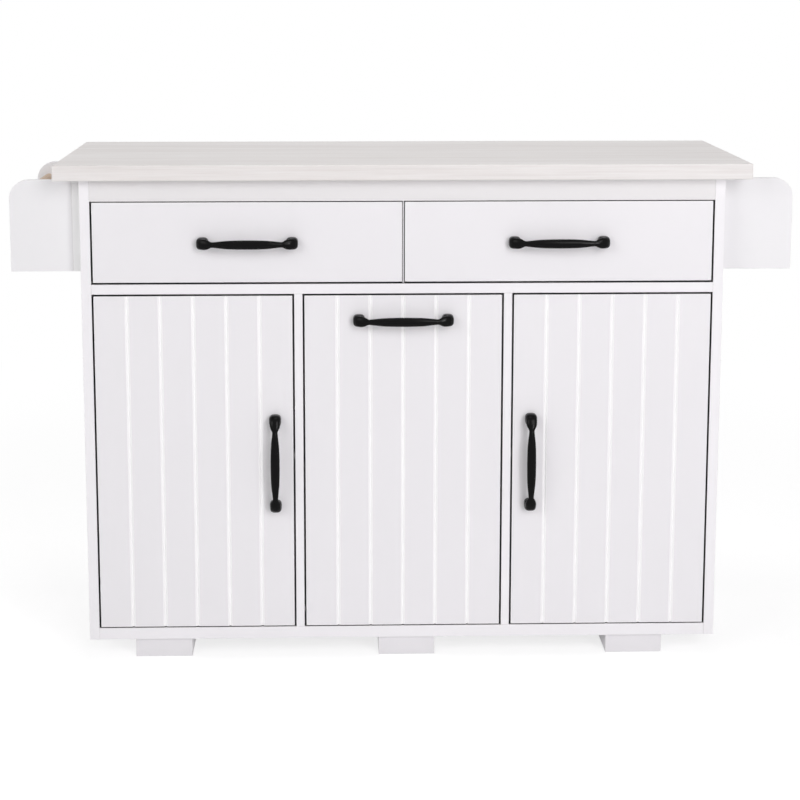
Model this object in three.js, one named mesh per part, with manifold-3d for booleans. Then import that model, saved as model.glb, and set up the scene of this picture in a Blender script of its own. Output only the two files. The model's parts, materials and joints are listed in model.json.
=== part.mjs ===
// Drop leaf kitchen island: a painted cabinet with two drawers, two beadboard doors and a
// pull-out bin unit, a wooden worktop with a hinged leaf behind it, a towel rack on the left
// side and a spice rack on the right side. Millimetres: X to the right, Y to the back, Z up.
// While the pieces are placed, Y is measured from the front edge of the worktop.
import * as THREE from 'three';
import { mergeVertices } from 'three/addons/utils/BufferGeometryUtils.js';
import Module from 'manifold-3d';

// ---------- Cabinet ----------
const BODY_WIDTH = 1156;
const BODY_DEPTH = 400;
const SIDE_THICK = 18;
const DIVIDER_THICK = 15;
const BOTTOM_THICK = 22;
const DECK_THICK = 18;
const BACK_THICK = 5;
const RAIL_HEIGHT = 39;
const RAIL_THICK = 18;
const DOOR_OPENING = 625;
const DRAWER_OPENING = 150;
const SHELF_THICK = 15;
const SHELF_HEIGHT = 300; // above the cabinet's bottom board
const SHELF_SETBACK = 38;
const SHELF_CLEAR = 0.5;

// ---------- Feet ----------
const FOOT_WIDTH = 104;
const FOOT_HEIGHT = 35;
const FOOT_SETBACK = 5;
const FOOT_INSET_LEFT = 84; // from the cabinet's side to the foot's outer face
const FOOT_INSET_RIGHT = 96;
const FOOT_CENTRE_SHIFT = 7;

// ---------- Worktop and leaf ----------
const TOP_THICK = 28;
const TOP_ROUND = 3;
const OVERHANG_FRONT = 22;
const OVERHANG_REAR = 28;
const OVERHANG_SIDE = 44;
const LEAF_DEPTH = 300;
const LEAF_GAP = 1;

// ---------- Fronts: drawers, doors and the pull-out ----------
const FRONT_THICK = 18;
const FRONT_GAP = 3;
const CENTRE_GAP = 4.4; // between the two drawer fronts
const PLANKS = 6;
const GROOVE_WIDTH = 5;
const GROOVE_DEPTH = 2.4;

// ---------- Handles ----------
const HANDLE_CENTRES = 160;
const FOOT_RADIUS = 10.9;
const GRIP_REACH = 32;
const GRIP_ACROSS = 8; // half the grip's width, at its middle
const GRIP_THICK = 6.2; // half its thickness there
const GRIP_SHOULDER = 22; // from the feet's centres to where the grip starts to widen
const DOOR_HANDLE_INSET = 33; // from the door's edge
const BIN_HANDLE_DROP = 45; // from the front's top edge
const HANDLE_SIDES = 10;
const HANDLE_RINGS = 28;

// ---------- Drawer boxes, the bin carrier and their slides ----------
const BOX_SIDE_CLEAR = 5;
const BOX_WALL = 12;
const BOX_HEADROOM = 22; // below the top rail
const BOX_REAR_CLEAR = 27; // to the back panel
const BOX_BOTTOM = 5;
const BOX_GROOVE_UP = 4; // the bottom's groove above the box's lower edge
const GROOVE_CUT = 4; // how far the bottom reaches into the walls
const CARRIER_HEIGHT = 240;
const CARRIER_BASE = 12;
const CARRIER_RAIL_IN = 2; // how far the carrier's slide rail goes into its base
const SLIDE_SETBACK = 10; // behind the fronts
const SLIDE_WIDTH = 30;
const SLIDE_CHANNEL = 12; // height of the fixed channel
const SLIDE_RISE = 18; // from the board below to the box
const SLIDE_WALL = 1.5;
const SLIDE_CLEAR = 0.5;

// ---------- Door hinges ----------
const HINGE_INSET = 80; // from the door's top and bottom edges
const CUP_RADIUS = 17.5;
const CUP_DEPTH = 11;
const CUP_EDGE = 5; // between the cup and the door's edge
const CUP_WALL = 1.5;
const FLANGE = { across: 22, along: 56, thick: 1.2 };
const ARM = { wide: 14, thick: 11, length: 56 };
const ARM_PLATE = { thick: 2, tall: 44, deep: 38, back: 12 };

// ---------- Leaf hinge ----------
const KNUCKLE_RADIUS = 4;
const KNUCKLES = 13;
const AXIS_DROP = 4.5; // the pin's centre below the worktop
const HINGE_PLATE = 1.5;
const HINGE_BACK_CLEAR = 2.5; // between the worktop's wing and the cabinet's back
const HINGE_END = 20; // from the worktop's ends
const PIN_RADIUS = 1.5;

// ---------- Leaf brackets ----------
const BRACKET_INSET = 150; // from the cabinet's sides
const STRUT_DROP = 100; // the strut's pivot below the leaf's pin
const STRUT_TIP_INSET = 22; // its far end above the hanging leaf's lower edge
const STRUT_HALF = 6; // half the strut's width, and its round ends
const STRUT_THICK = 10;
const STRUT_OFF = 10; // the strut's centre line off the leaf's underside
const STRUT_PIN = 3;
const WALL_PLATE = { thick: 3, wide: 24, rise: 70, drop: 90 }; // rise and drop: from the pivot
const EAR = { thick: 2.5, half: 9 };
const CHANNEL = { web: 3, wall: 2, deep: 15, clear: 20, inset: 10 };

// ---------- Side racks ----------
const RACK_REACH = 130;
const RACK_HEIGHT = 166;
const RACK_LENGTH = 330;
const RACK_DROP = 4; // below the worktop's underside
const RACK_SETBACK = 35; // behind the cabinet's front
const RACK_PANEL = 15;
const RACK_CORNER = 34;
const TOWEL_BOARD = 18;
const TOWEL_BAR_RADIUS = 11;
const TOWEL_BAR_IN = 23; // its centre from the rack's outer edge
const TOWEL_BAR_DOWN = 34; // its centre below the rack's top
const SPICE_SHELF = 15;
const SPICE_RAIL = { thick: 15, tall: 40, down: 37 };

const CLEAR = 0.3; // between a piece and what it is cut by or turns against
const ROUND_SIDES = 16;

// ---------- Levels and planes worked out from the sizes above ----------
const bottomZ = FOOT_HEIGHT;
const doorBayZ = bottomZ + BOTTOM_THICK;
const deckZ = doorBayZ + DOOR_OPENING;
const drawerBayZ = deckZ + DECK_THICK;
const railZ = drawerBayZ + DRAWER_OPENING;
const topZ = railZ + RAIL_HEIGHT; // the worktop's underside
const frontY = OVERHANG_FRONT;
const rearY = frontY + BODY_DEPTH;
const backY = rearY - BACK_THICK; // the back panel's front face
const topDepth = OVERHANG_FRONT + BODY_DEPTH + OVERHANG_REAR;
const topLength = BODY_WIDTH + 2 * OVERHANG_SIDE;
const sideX = BODY_WIDTH / 2;
const innerX = sideX - SIDE_THICK;
const bay = (2 * innerX - 2 * DIVIDER_THICK) / 3;
const behindFront = frontY + FRONT_THICK;
const axisY = topDepth + LEAF_GAP / 2; // the leaf's pin
const axisZ = topZ - AXIS_DROP;
const leafInnerY = axisY + AXIS_DROP; // the hanging leaf's face towards the cabinet
const strutY = leafInnerY - STRUT_OFF;
const boxDepth = backY - behindFront - BOX_REAR_CLEAR;
const boxHeight = DRAWER_OPENING - SLIDE_RISE - BOX_HEADROOM;
const strutLength = LEAF_DEPTH - STRUT_DROP - STRUT_TIP_INSET;
const hingeWing = OVERHANG_REAR + LEAF_GAP / 2 - HINGE_BACK_CLEAR;

const paint = new THREE.MeshStandardMaterial({ color: 0xefeef0, roughness: 0.55 });
const topWood = new THREE.MeshStandardMaterial({ color: 0xe3deda, roughness: 0.6 });
const barWood = new THREE.MeshStandardMaterial({ color: 0xc6ab90, roughness: 0.6 });
const inside = new THREE.MeshStandardMaterial({ color: 0xe8e6e4, roughness: 0.7 });
const black = new THREE.MeshStandardMaterial({ color: 0x1b1a1b, roughness: 0.38, metalness: 0.3 });
const steel = new THREE.MeshStandardMaterial({ color: 0xb9bbbd, roughness: 0.35, metalness: 1 });

const wasm = await Module();
wasm.setup();

function solidOf(geometry) {
  const bare = geometry.index ? geometry.toNonIndexed() : geometry.clone();
  bare.deleteAttribute('normal');
  bare.deleteAttribute('uv');
  const merged = mergeVertices(bare, 1e-4);
  return new wasm.Manifold(new wasm.Mesh({
    numProp: 3,
    vertProperties: new Float32Array(merged.attributes.position.array),
    triVerts: new Uint32Array(merged.index.array),
  }));
}

function geometryOf(solid) {
  const mesh = solid.getMesh();
  const geometry = new THREE.BufferGeometry();
  geometry.setAttribute('position', new THREE.BufferAttribute(mesh.vertProperties, 3));
  geometry.setIndex(new THREE.BufferAttribute(mesh.triVerts, 1));
  return geometry;
}

const join = (parts) => geometryOf(parts.map(solidOf).reduce((sum, part) => sum.add(part)));
const cut = (body, tools) => geometryOf(
  tools.map(solidOf).reduce((left, tool) => left.subtract(tool), solidOf(body)));

const island = new THREE.Group();

function place(name, geometry, material, position = [0, 0, 0], parent = island) {
  const mesh = new THREE.Mesh(geometry, material);
  mesh.name = name;
  mesh.position.set(...position);
  parent.add(mesh);
  return mesh;
}

// A block between two values along each axis, as a geometry that stays where it is drawn.
function block([x0, x1], [y0, y1], [z0, z1]) {
  return new THREE.BoxGeometry(x1 - x0, y1 - y0, z1 - z0)
    .translate((x0 + x1) / 2, (y0 + y1) / 2, (z0 + z1) / 2);
}

// A board as a mesh: a box set at its centre.
function board(name, [x0, x1], [y0, y1], [z0, z1], material = paint) {
  const box = new THREE.BoxGeometry(x1 - x0, y1 - y0, z1 - z0);
  return place(name, box, material, [(x0 + x1) / 2, (y0 + y1) / 2, (z0 + z1) / 2]);
}

const outline = (points) => new THREE.Shape(points.map(([a, b]) => new THREE.Vector2(a, b)));
const extrude = (shape, depth) => new THREE.ExtrudeGeometry(
  shape, { depth, bevelEnabled: false, curveSegments: 6 });

// An outline of (x, z) points, pushed along Y from y0 to y1.
function alongY(shape, y0, y1) {
  return extrude(shape, y1 - y0).rotateX(Math.PI / 2).translate(0, y1, 0);
}

// An outline of (y, z) points, pushed along X to both sides of x = 0.
function acrossX(shape, width) {
  const turn = new THREE.Matrix4().makeBasis(
    new THREE.Vector3(0, 1, 0), new THREE.Vector3(0, 0, 1), new THREE.Vector3(1, 0, 0));
  return extrude(shape, width).translate(0, 0, -width / 2).applyMatrix4(turn);
}

// A round bar or bore along X, between two values of x.
function roundAlongX(radius, x0, x1, y = 0, z = 0) {
  return new THREE.CylinderGeometry(radius, radius, x1 - x0, ROUND_SIDES)
    .rotateZ(Math.PI / 2).translate((x0 + x1) / 2, y, z);
}

// ---------- Cabinet: panels, dividers, deck, rail, shelves and feet ----------
function makeCabinet() {
  for (const [side, sign] of [['left', -1], ['right', 1]]) {
    const [x0, x1] = [sign * innerX, sign * sideX].sort((a, b) => a - b);
    board(`side_panel_${side}`, [x0, x1], [frontY, rearY], [bottomZ, topZ]);
    const [d0, d1] = [sign * bay / 2, sign * (bay / 2 + DIVIDER_THICK)].sort((a, b) => a - b);
    board(`divider_${side}`, [d0, d1], [frontY, backY], [doorBayZ, deckZ]);
    const [s0, s1] = sign < 0 ? [-innerX, d0] : [d1, innerX];
    const shelfZ = doorBayZ + SHELF_HEIGHT;
    board(`shelf_${side}`, [s0 + SHELF_CLEAR, s1 - SHELF_CLEAR],
      [frontY + SHELF_SETBACK, backY - SHELF_CLEAR], [shelfZ, shelfZ + SHELF_THICK], inside);
  }
  board('bottom_panel', [-innerX, innerX], [frontY, backY], [bottomZ, doorBayZ]);
  board('back_panel', [-innerX, innerX], [backY, rearY], [bottomZ, topZ]);
  board('drawer_deck', [-innerX, innerX], [frontY, backY], [deckZ, drawerBayZ]);
  board('top_rail_front', [-innerX, innerX], [frontY, frontY + RAIL_THICK], [railZ, topZ]);
  const behindRail = frontY + Math.max(RAIL_THICK, FRONT_THICK) + 2 * CLEAR;
  board('drawer_divider', [-DIVIDER_THICK / 2, DIVIDER_THICK / 2], [behindRail, backY],
    [drawerBayZ, topZ]);
  const feet = {
    foot_left: -sideX + FOOT_INSET_LEFT,
    foot_centre: FOOT_CENTRE_SHIFT - FOOT_WIDTH / 2,
    foot_right: sideX - FOOT_INSET_RIGHT - FOOT_WIDTH,
  };
  for (const [name, x] of Object.entries(feet)) {
    board(name, [x, x + FOOT_WIDTH], [frontY + FOOT_SETBACK, rearY - FOOT_SETBACK],
      [0, FOOT_HEIGHT]);
  }
}

// ---------- Worktop and leaf: boards with a small round-over all round ----------
function roundedSlab(length, depth, thick) {
  const [a, b] = [length / 2 - TOP_ROUND, depth / 2 - TOP_ROUND];
  const shape = outline([[-a, -b], [a, -b], [a, b], [-a, b]]);
  return new THREE.ExtrudeGeometry(shape, {
    depth: thick - 2 * TOP_ROUND,
    bevelSize: TOP_ROUND,
    bevelThickness: TOP_ROUND,
    bevelSegments: 2,
  }).translate(0, 0, TOP_ROUND - thick / 2);
}

function makeTop() {
  place('worktop', roundedSlab(topLength, topDepth, TOP_THICK), topWood,
    [0, topDepth / 2, topZ + TOP_THICK / 2]);
  const leaf = place('drop_leaf', roundedSlab(topLength, LEAF_DEPTH, TOP_THICK), topWood,
    [0, leafInnerY + TOP_THICK / 2, axisZ - LEAF_GAP / 2 - LEAF_DEPTH / 2]);
  leaf.rotation.x = -Math.PI / 2;
}

// ---------- Handle: a cast bow pull, thin at its necks and full at its middle ----------
// Each station is [along, out, half across, half thick], from one foot to the middle.
function handleStations() {
  const half = HANDLE_CENTRES / 2;
  const middleOut = GRIP_REACH - GRIP_THICK;
  return [
    [half, 0, FOOT_RADIUS - 0.7, FOOT_RADIUS - 0.7],
    [half, 3, FOOT_RADIUS, FOOT_RADIUS],
    [half, 8, FOOT_RADIUS, FOOT_RADIUS],
    [half - 0.5, 12, FOOT_RADIUS - 2.4, FOOT_RADIUS - 2.4],
    [half - 2.5, 16, 5.6, 5.4],
    [half - 9, middleOut - 5.8, 4.6, 4.2],
    [half - GRIP_SHOULDER, middleOut - 3.2, 5.6, 4.8],
    [half * 0.4, middleOut - 0.8, 0.93 * GRIP_ACROSS, GRIP_THICK - 0.2],
    [0, middleOut, GRIP_ACROSS, GRIP_THICK],
  ];
}

// The handle stands on the plane y = 0 with its grip along Z and reaches out to -Y.
function handleGeometry() {
  const half = handleStations();
  const mirrored = half.slice(0, -1).reverse().map(([s, ...rest]) => [-s, ...rest]);
  const stations = [...half, ...mirrored];
  const path = new THREE.CatmullRomCurve3(
    stations.map(([s, out]) => new THREE.Vector3(0, -out, s)));
  const girth = new THREE.CatmullRomCurve3(
    stations.map(([, , across, thick]) => new THREE.Vector3(across, thick, 0)));
  const positions = [];
  for (let ring = 0; ring <= HANDLE_RINGS; ring += 1) {
    const t = ring / HANDLE_RINGS;
    const centre = path.getPoint(t);
    const tangent = path.getTangent(t);
    const normal = new THREE.Vector3(0, -tangent.z, tangent.y).normalize();
    if (ring === 0 || ring === HANDLE_RINGS) {
      normal.set(0, 0, ring === 0 ? 1 : -1);
    }
    const size = girth.getPoint(t);
    for (let side = 0; side < HANDLE_SIDES; side += 1) {
      const angle = 2 * Math.PI * side / HANDLE_SIDES;
      const point = centre.clone()
        .addScaledVector(normal, size.y * Math.cos(angle))
        .add(new THREE.Vector3(size.x * Math.sin(angle), 0, 0));
      positions.push(point.x, Math.min(point.y, 0), point.z);
    }
  }
  const index = [];
  const at = (ring, side) => ring * HANDLE_SIDES + side % HANDLE_SIDES;
  for (let ring = 0; ring < HANDLE_RINGS; ring += 1) {
    for (let side = 0; side < HANDLE_SIDES; side += 1) {
      index.push(at(ring, side), at(ring, side + 1), at(ring + 1, side));
      index.push(at(ring, side + 1), at(ring + 1, side + 1), at(ring + 1, side));
    }
  }
  for (let side = 1; side < HANDLE_SIDES - 1; side += 1) {
    index.push(at(0, 0), at(0, side + 1), at(0, side));
    index.push(at(HANDLE_RINGS, 0), at(HANDLE_RINGS, side), at(HANDLE_RINGS, side + 1));
  }
  const geometry = new THREE.BufferGeometry();
  geometry.setAttribute('position', new THREE.Float32BufferAttribute(positions, 3));
  geometry.setIndex(index);
  return geometry;
}

function makeHandle(name, x, z, level) {
  const handle = place(name, handleGeometry(), black, [x, frontY, z]);
  handle.rotation.y = level ? Math.PI / 2 : 0;
}

// ---------- Slide: a channel on the board below and a rail under the box ----------
function channelOutline(half, height, wall) {
  return outline([
    [-half, 0], [half, 0], [half, height], [half - wall, height],
    [half - wall, wall], [wall - half, wall], [wall - half, height], [-half, height],
  ]);
}

function railOutline(half, low, high, web) {
  const inner = half - SLIDE_WALL;
  return outline([
    [-half, low], [-inner, low], [-inner, high - web],
    [inner, high - web], [inner, low], [half, low], [half, high], [-half, high],
  ]);
}

const slideY = [behindFront + SLIDE_SETBACK, behindFront + boxDepth];
const slideRail = (into = 0) => alongY(
  railOutline(SLIDE_WIDTH / 2 - SLIDE_WALL - SLIDE_CLEAR, SLIDE_WALL + SLIDE_CLEAR,
    SLIDE_RISE + into, SLIDE_WALL + into), ...slideY);

function makeFixedSlide(name, x, z) {
  place(name, alongY(channelOutline(SLIDE_WIDTH / 2, SLIDE_CHANNEL, SLIDE_WALL), ...slideY),
    steel, [x, 0, z]);
}

// ---------- Drawers ----------
function boxWalls([x0, x1], [z0, z1]) {
  const [y0, y1] = [behindFront, behindFront + boxDepth];
  return cut(block([x0, x1], [y0, y1], [z0, z1]), [
    block([x0 + BOX_WALL, x1 - BOX_WALL], [y0 + BOX_WALL, y1 - BOX_WALL], [z0 - 1, z1 + 1]),
  ]);
}

function makeDrawer(side, sign) {
  const near = sign * CENTRE_GAP / 2;
  const far = sign * (innerX - FRONT_GAP);
  const [x0, x1] = [near, far].sort((a, b) => a - b);
  const front = [drawerBayZ + FRONT_GAP, railZ - FRONT_GAP];
  board(`${side}_drawer_front`, [x0, x1], [frontY, behindFront], front);
  makeHandle(`${side}_drawer_handle`, (x0 + x1) / 2, (front[0] + front[1]) / 2, true);

  const bayEnds = [sign * DIVIDER_THICK / 2, sign * innerX].sort((a, b) => a - b);
  const box = [bayEnds[0] + BOX_SIDE_CLEAR, bayEnds[1] - BOX_SIDE_CLEAR];
  const boxZ = drawerBayZ + SLIDE_RISE;
  const panelY = [behindFront, behindFront + boxDepth];
  const groove = BOX_WALL - GROOVE_CUT;
  const panel = (grow) => block(
    [box[0] + groove - grow, box[1] - groove + grow],
    [panelY[0] + groove - grow, panelY[1] - groove + grow],
    [boxZ + BOX_GROOVE_UP - grow, boxZ + BOX_GROOVE_UP + BOX_BOTTOM + grow]);
  place(`${side}_drawer_box`, cut(boxWalls(box, [boxZ, boxZ + boxHeight]), [panel(CLEAR)]),
    inside);
  place(`${side}_drawer_bottom`, panel(0), inside);
  const slideX = (box[0] + box[1]) / 2;
  makeFixedSlide(`${side}_drawer_slide_channel`, slideX, drawerBayZ);
  place(`${side}_drawer_slide_rail`, slideRail(), steel, [slideX, 0, drawerBayZ]);
}

// ---------- Beadboard fronts: one outline with V-grooves, pushed up ----------
function beadboard(width, height) {
  const points = [[-width / 2, FRONT_THICK], [-width / 2, 0]];
  for (let plank = 1; plank < PLANKS; plank += 1) {
    const x = -width / 2 + plank * width / PLANKS;
    points.push([x - GROOVE_WIDTH / 2, 0], [x, GROOVE_DEPTH], [x + GROOVE_WIDTH / 2, 0]);
  }
  points.push([width / 2, 0], [width / 2, FRONT_THICK]);
  return extrude(outline(points), height);
}

const frontWidth = bay - 2 * FRONT_GAP;
const frontHeight = DOOR_OPENING - 2 * FRONT_GAP;
const frontZ = doorBayZ + FRONT_GAP;
const hingeHeights = { lower: HINGE_INSET, upper: frontHeight - HINGE_INSET };

// The cup's centre from the door's hinge edge, on the door's back face.
const cupIn = CUP_EDGE + CUP_RADIUS;

function cupCylinder(radius, depth, x, z, back) {
  return new THREE.CylinderGeometry(radius, radius, depth, 2 * ROUND_SIDES)
    .translate(x, back - depth / 2, z);
}

function makeDoor(side, sign) {
  const centre = sign * (innerX - FRONT_GAP - frontWidth / 2);
  const hingeEdge = sign * (innerX - FRONT_GAP);
  const cupX = hingeEdge - sign * cupIn;
  const bores = Object.values(hingeHeights).map((z) => cupCylinder(
    CUP_RADIUS + CLEAR, CUP_DEPTH + CLEAR + 1, cupX - centre, z, FRONT_THICK + 1));
  place(`${side}_door`, cut(beadboard(frontWidth, frontHeight), bores), paint,
    [centre, frontY, frontZ]);
  makeHandle(`${side}_door_handle`,
    sign * (innerX - FRONT_GAP - frontWidth + DOOR_HANDLE_INSET), frontZ + frontHeight / 2, false);

  for (const [level, height] of Object.entries(hingeHeights)) {
    const z = frontZ + height;
    // Cup: a round dish let into the door, with a screwed flange on the door's back face.
    const flangeX = [-FLANGE.across / 2, FLANGE.across / 2];
    const dish = join([
      cupCylinder(CUP_RADIUS, CUP_DEPTH + FLANGE.thick, 0, 0, FLANGE.thick),
      block(flangeX, [0, FLANGE.thick], [-FLANGE.along / 2, FLANGE.along / 2]),
    ]);
    const hollow = cupCylinder(CUP_RADIUS - CUP_WALL, CUP_DEPTH + FLANGE.thick, 0, 0,
      FLANGE.thick + CUP_WALL);
    place(`${side}_door_hinge_cup_${level}`, cut(dish, [hollow]), steel,
      [cupX, behindFront, z]);
    // Arm: a plate screwed to the side panel, with the arm that reaches towards the cup.
    const armFront = behindFront + FLANGE.thick + CLEAR;
    const toBay = (a, b) => [-sign * a, -sign * b].sort((m, n) => m - n);
    const arm = join([
      block(toBay(0, ARM_PLATE.thick),
        [armFront + ARM_PLATE.back, armFront + ARM_PLATE.back + ARM_PLATE.deep],
        [-ARM_PLATE.tall / 2, ARM_PLATE.tall / 2]),
      block(toBay(0, ARM.thick), [armFront, armFront + ARM.length],
        [-ARM.wide / 2, ARM.wide / 2]),
    ]);
    place(`${side}_door_hinge_arm_${level}`, arm, steel, [sign * innerX, 0, z]);
  }
}

// ---------- Pull-out bin unit in the middle bay ----------
function makeBinUnit() {
  place('bin_front', beadboard(frontWidth, frontHeight), paint, [0, frontY, frontZ]);
  makeHandle('bin_front_handle', 0, frontZ + frontHeight - BIN_HANDLE_DROP, true);
  const half = bay / 2 - BOX_SIDE_CLEAR;
  const z0 = doorBayZ + SLIDE_RISE;
  const y = [behindFront, behindFront + boxDepth];
  const inner = block([BOX_WALL - half, half - BOX_WALL], [y[0] + BOX_WALL, y[1] - BOX_WALL],
    [z0 + CARRIER_BASE, z0 + CARRIER_HEIGHT + 1]);
  const tray = cut(block([-half, half], y, [z0, z0 + CARRIER_HEIGHT]), [inner]);
  // The carrier's base and its slide rail are one piece here.
  const rail = slideRail(CARRIER_RAIL_IN).translate(0, 0, doorBayZ);
  place('bin_carrier', join([tray, rail]), inside);
  makeFixedSlide('bin_slide_channel', 0, doorBayZ);
}

// ---------- Leaf hinge: one long hinge with knuckles in turn on the two wings ----------
// Drawn round the pin with the leaf raised: the worktop's wing lies to -Y, the leaf's to +Y.
function makeLeafHinge() {
  const length = topLength - 2 * HINGE_END;
  const zone = length / KNUCKLES;
  const level = [AXIS_DROP - HINGE_PLATE, AXIS_DROP];
  const wing = (dir) => {
    const y = [dir * (KNUCKLE_RADIUS + 2 * CLEAR), dir * hingeWing].sort((a, b) => a - b);
    const parts = [block([-length / 2, length / 2], y, level)];
    for (let i = dir < 0 ? 0 : 1; i < KNUCKLES; i += 2) {
      const x = [-length / 2 + i * zone + CLEAR, -length / 2 + (i + 1) * zone - CLEAR];
      const tab = [0, dir * (KNUCKLE_RADIUS + HINGE_PLATE)].sort((a, b) => a - b);
      parts.push(block(x, tab, level));
      parts.push(roundAlongX(KNUCKLE_RADIUS, ...x));
    }
    return parts;
  };
  const pin = roundAlongX(PIN_RADIUS, -length / 2 + CLEAR, length / 2 - CLEAR);
  place('leaf_hinge_fixed', join([...wing(-1), pin]), steel, [0, axisY, axisZ]);
  const bore = roundAlongX(PIN_RADIUS + CLEAR, -length / 2, length / 2);
  const moving = place('leaf_hinge_moving', cut(join(wing(1)), [bore]), steel,
    [0, axisY, axisZ]);
  moving.rotation.x = -Math.PI / 2;
}

// ---------- Leaf bracket: wall plate with ears, a strut, and a channel on the leaf ----------
function strutOutline() {
  const shape = new THREE.Shape();
  shape.absarc(0, 0, STRUT_HALF, 0, Math.PI, false);
  shape.absarc(0, -strutLength, STRUT_HALF, Math.PI, 2 * Math.PI, false);
  return shape;
}

function makeLeafBracket(side, sign) {
  const bracket = new THREE.Group();
  bracket.position.set(sign * (sideX - BRACKET_INSET), strutY, axisZ - STRUT_DROP);
  island.add(bracket);
  const wall = rearY - strutY; // the back panel's rear face, seen from the pivot
  const earIn = STRUT_THICK / 2 + 2 * CLEAR;
  const ears = [-1, 1].map((s) => block(
    [s * earIn, s * (earIn + EAR.thick)].sort((a, b) => a - b),
    [wall + 1, STRUT_HALF], [-EAR.half, EAR.half]));
  const plate = block([-WALL_PLATE.wide / 2, WALL_PLATE.wide / 2],
    [wall, wall + WALL_PLATE.thick], [-WALL_PLATE.drop, WALL_PLATE.rise]);
  const pin = roundAlongX(STRUT_PIN, -earIn - EAR.thick, earIn + EAR.thick);
  place(`${side}_bracket_plate`, join([plate, ...ears, pin]), steel, [0, 0, 0], bracket);

  const bore = roundAlongX(STRUT_PIN + CLEAR, -STRUT_THICK, STRUT_THICK);
  place(`${side}_bracket_strut`, cut(acrossX(strutOutline(), STRUT_THICK), [bore]), steel,
    [0, 0, 0], bracket);

  // The channel, drawn as it hangs: its web lies on the leaf's inner face.
  const inside = STRUT_THICK / 2 + 2 * CLEAR;
  const top = -CHANNEL.clear;
  const low = STRUT_DROP - LEAF_DEPTH + CHANNEL.inset;
  const channel = join([
    block([-inside - CHANNEL.wall, inside + CHANNEL.wall],
      [STRUT_OFF - CHANNEL.web, STRUT_OFF], [low, top]),
    ...[-1, 1].map((s) => block(
      [s * inside, s * (inside + CHANNEL.wall)].sort((a, b) => a - b),
      [STRUT_OFF - CHANNEL.deep, STRUT_OFF], [low, top])),
  ]);
  place(`${side}_bracket_channel`, channel, steel, [0, 0, 0], bracket);
}

// ---------- Side racks ----------
const rackTop = topZ - RACK_DROP;
const rackBottom = rackTop - RACK_HEIGHT;
const rackFront = frontY + RACK_SETBACK;
const rackBack = rackFront + RACK_LENGTH;
const rackOuter = sideX + RACK_REACH;

// An end panel's outline in (x, z), with its outer top corner rounded.
function rackPanelOutline(inner, outer) {
  const sign = Math.sign(outer);
  const shape = new THREE.Shape();
  shape.moveTo(inner, rackBottom);
  shape.lineTo(outer, rackBottom);
  shape.lineTo(outer, rackTop - RACK_CORNER);
  shape.absarc(outer - sign * RACK_CORNER, rackTop - RACK_CORNER, RACK_CORNER,
    sign > 0 ? 0 : Math.PI, Math.PI / 2, sign < 0);
  shape.lineTo(inner, rackTop);
  return shape;
}

function makeRackEnds(name, inner, outer) {
  place(`${name}_end_front`,
    alongY(rackPanelOutline(inner, outer), rackFront, rackFront + RACK_PANEL), paint);
  place(`${name}_end_rear`,
    alongY(rackPanelOutline(inner, outer), rackBack - RACK_PANEL, rackBack), paint);
}

function makeTowelRack() {
  const boardX = -sideX - TOWEL_BOARD;
  makeRackEnds('towel_rack', boardX, -rackOuter);
  board('towel_rack_board', [boardX, -sideX], [rackFront, rackBack], [rackBottom, rackTop]);
  const length = RACK_LENGTH - 2 * RACK_PANEL;
  place('towel_bar', new THREE.CylinderGeometry(
    TOWEL_BAR_RADIUS, TOWEL_BAR_RADIUS, length, ROUND_SIDES), barWood,
  [TOWEL_BAR_IN - rackOuter, (rackFront + rackBack) / 2, rackTop - TOWEL_BAR_DOWN]);
}

function makeSpiceRack() {
  makeRackEnds('spice_rack', sideX, rackOuter);
  const between = [rackFront + RACK_PANEL, rackBack - RACK_PANEL];
  board('spice_rack_shelf', [sideX, rackOuter], between, [rackBottom, rackBottom + SPICE_SHELF]);
  const railTop = rackTop - SPICE_RAIL.down;
  board('spice_rack_rail', [rackOuter - SPICE_RAIL.thick, rackOuter], between,
    [railTop - SPICE_RAIL.tall, railTop]);
}

makeCabinet();
makeTop();
makeDrawer('left', -1);
makeDrawer('right', 1);
makeDoor('left', -1);
makeDoor('right', 1);
makeBinUnit();
makeLeafHinge();
makeLeafBracket('left', -1);
makeLeafBracket('right', 1);
makeTowelRack();
makeSpiceRack();

// The origin: on the floor, at the middle of the whole island with its leaf down.
const foremost = Math.min(0, frontY - GRIP_REACH);
const rearmost = leafInnerY + TOP_THICK;
island.position.y = -(foremost + rearmost) / 2;

export default island;
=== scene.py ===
# %% [markdown]
# # A kitchen island with a drop leaf
# The island is a white painted cabinet with two drawers over three grooved fronts, a pale
# washed worktop, a leaf that hangs behind it, and a rack on each side.
# Its CAD model already has every board, joint and size. Blender's work is the look: softened
# edges, paint, wood, cast handles and all the small fittings that a maker adds last.
# The CAD model is loaded first as a fixed frame, so each new piece can ask it for its place.

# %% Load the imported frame
import json
import math

import bmesh
import bpy
from mathutils import Matrix, Vector


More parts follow.
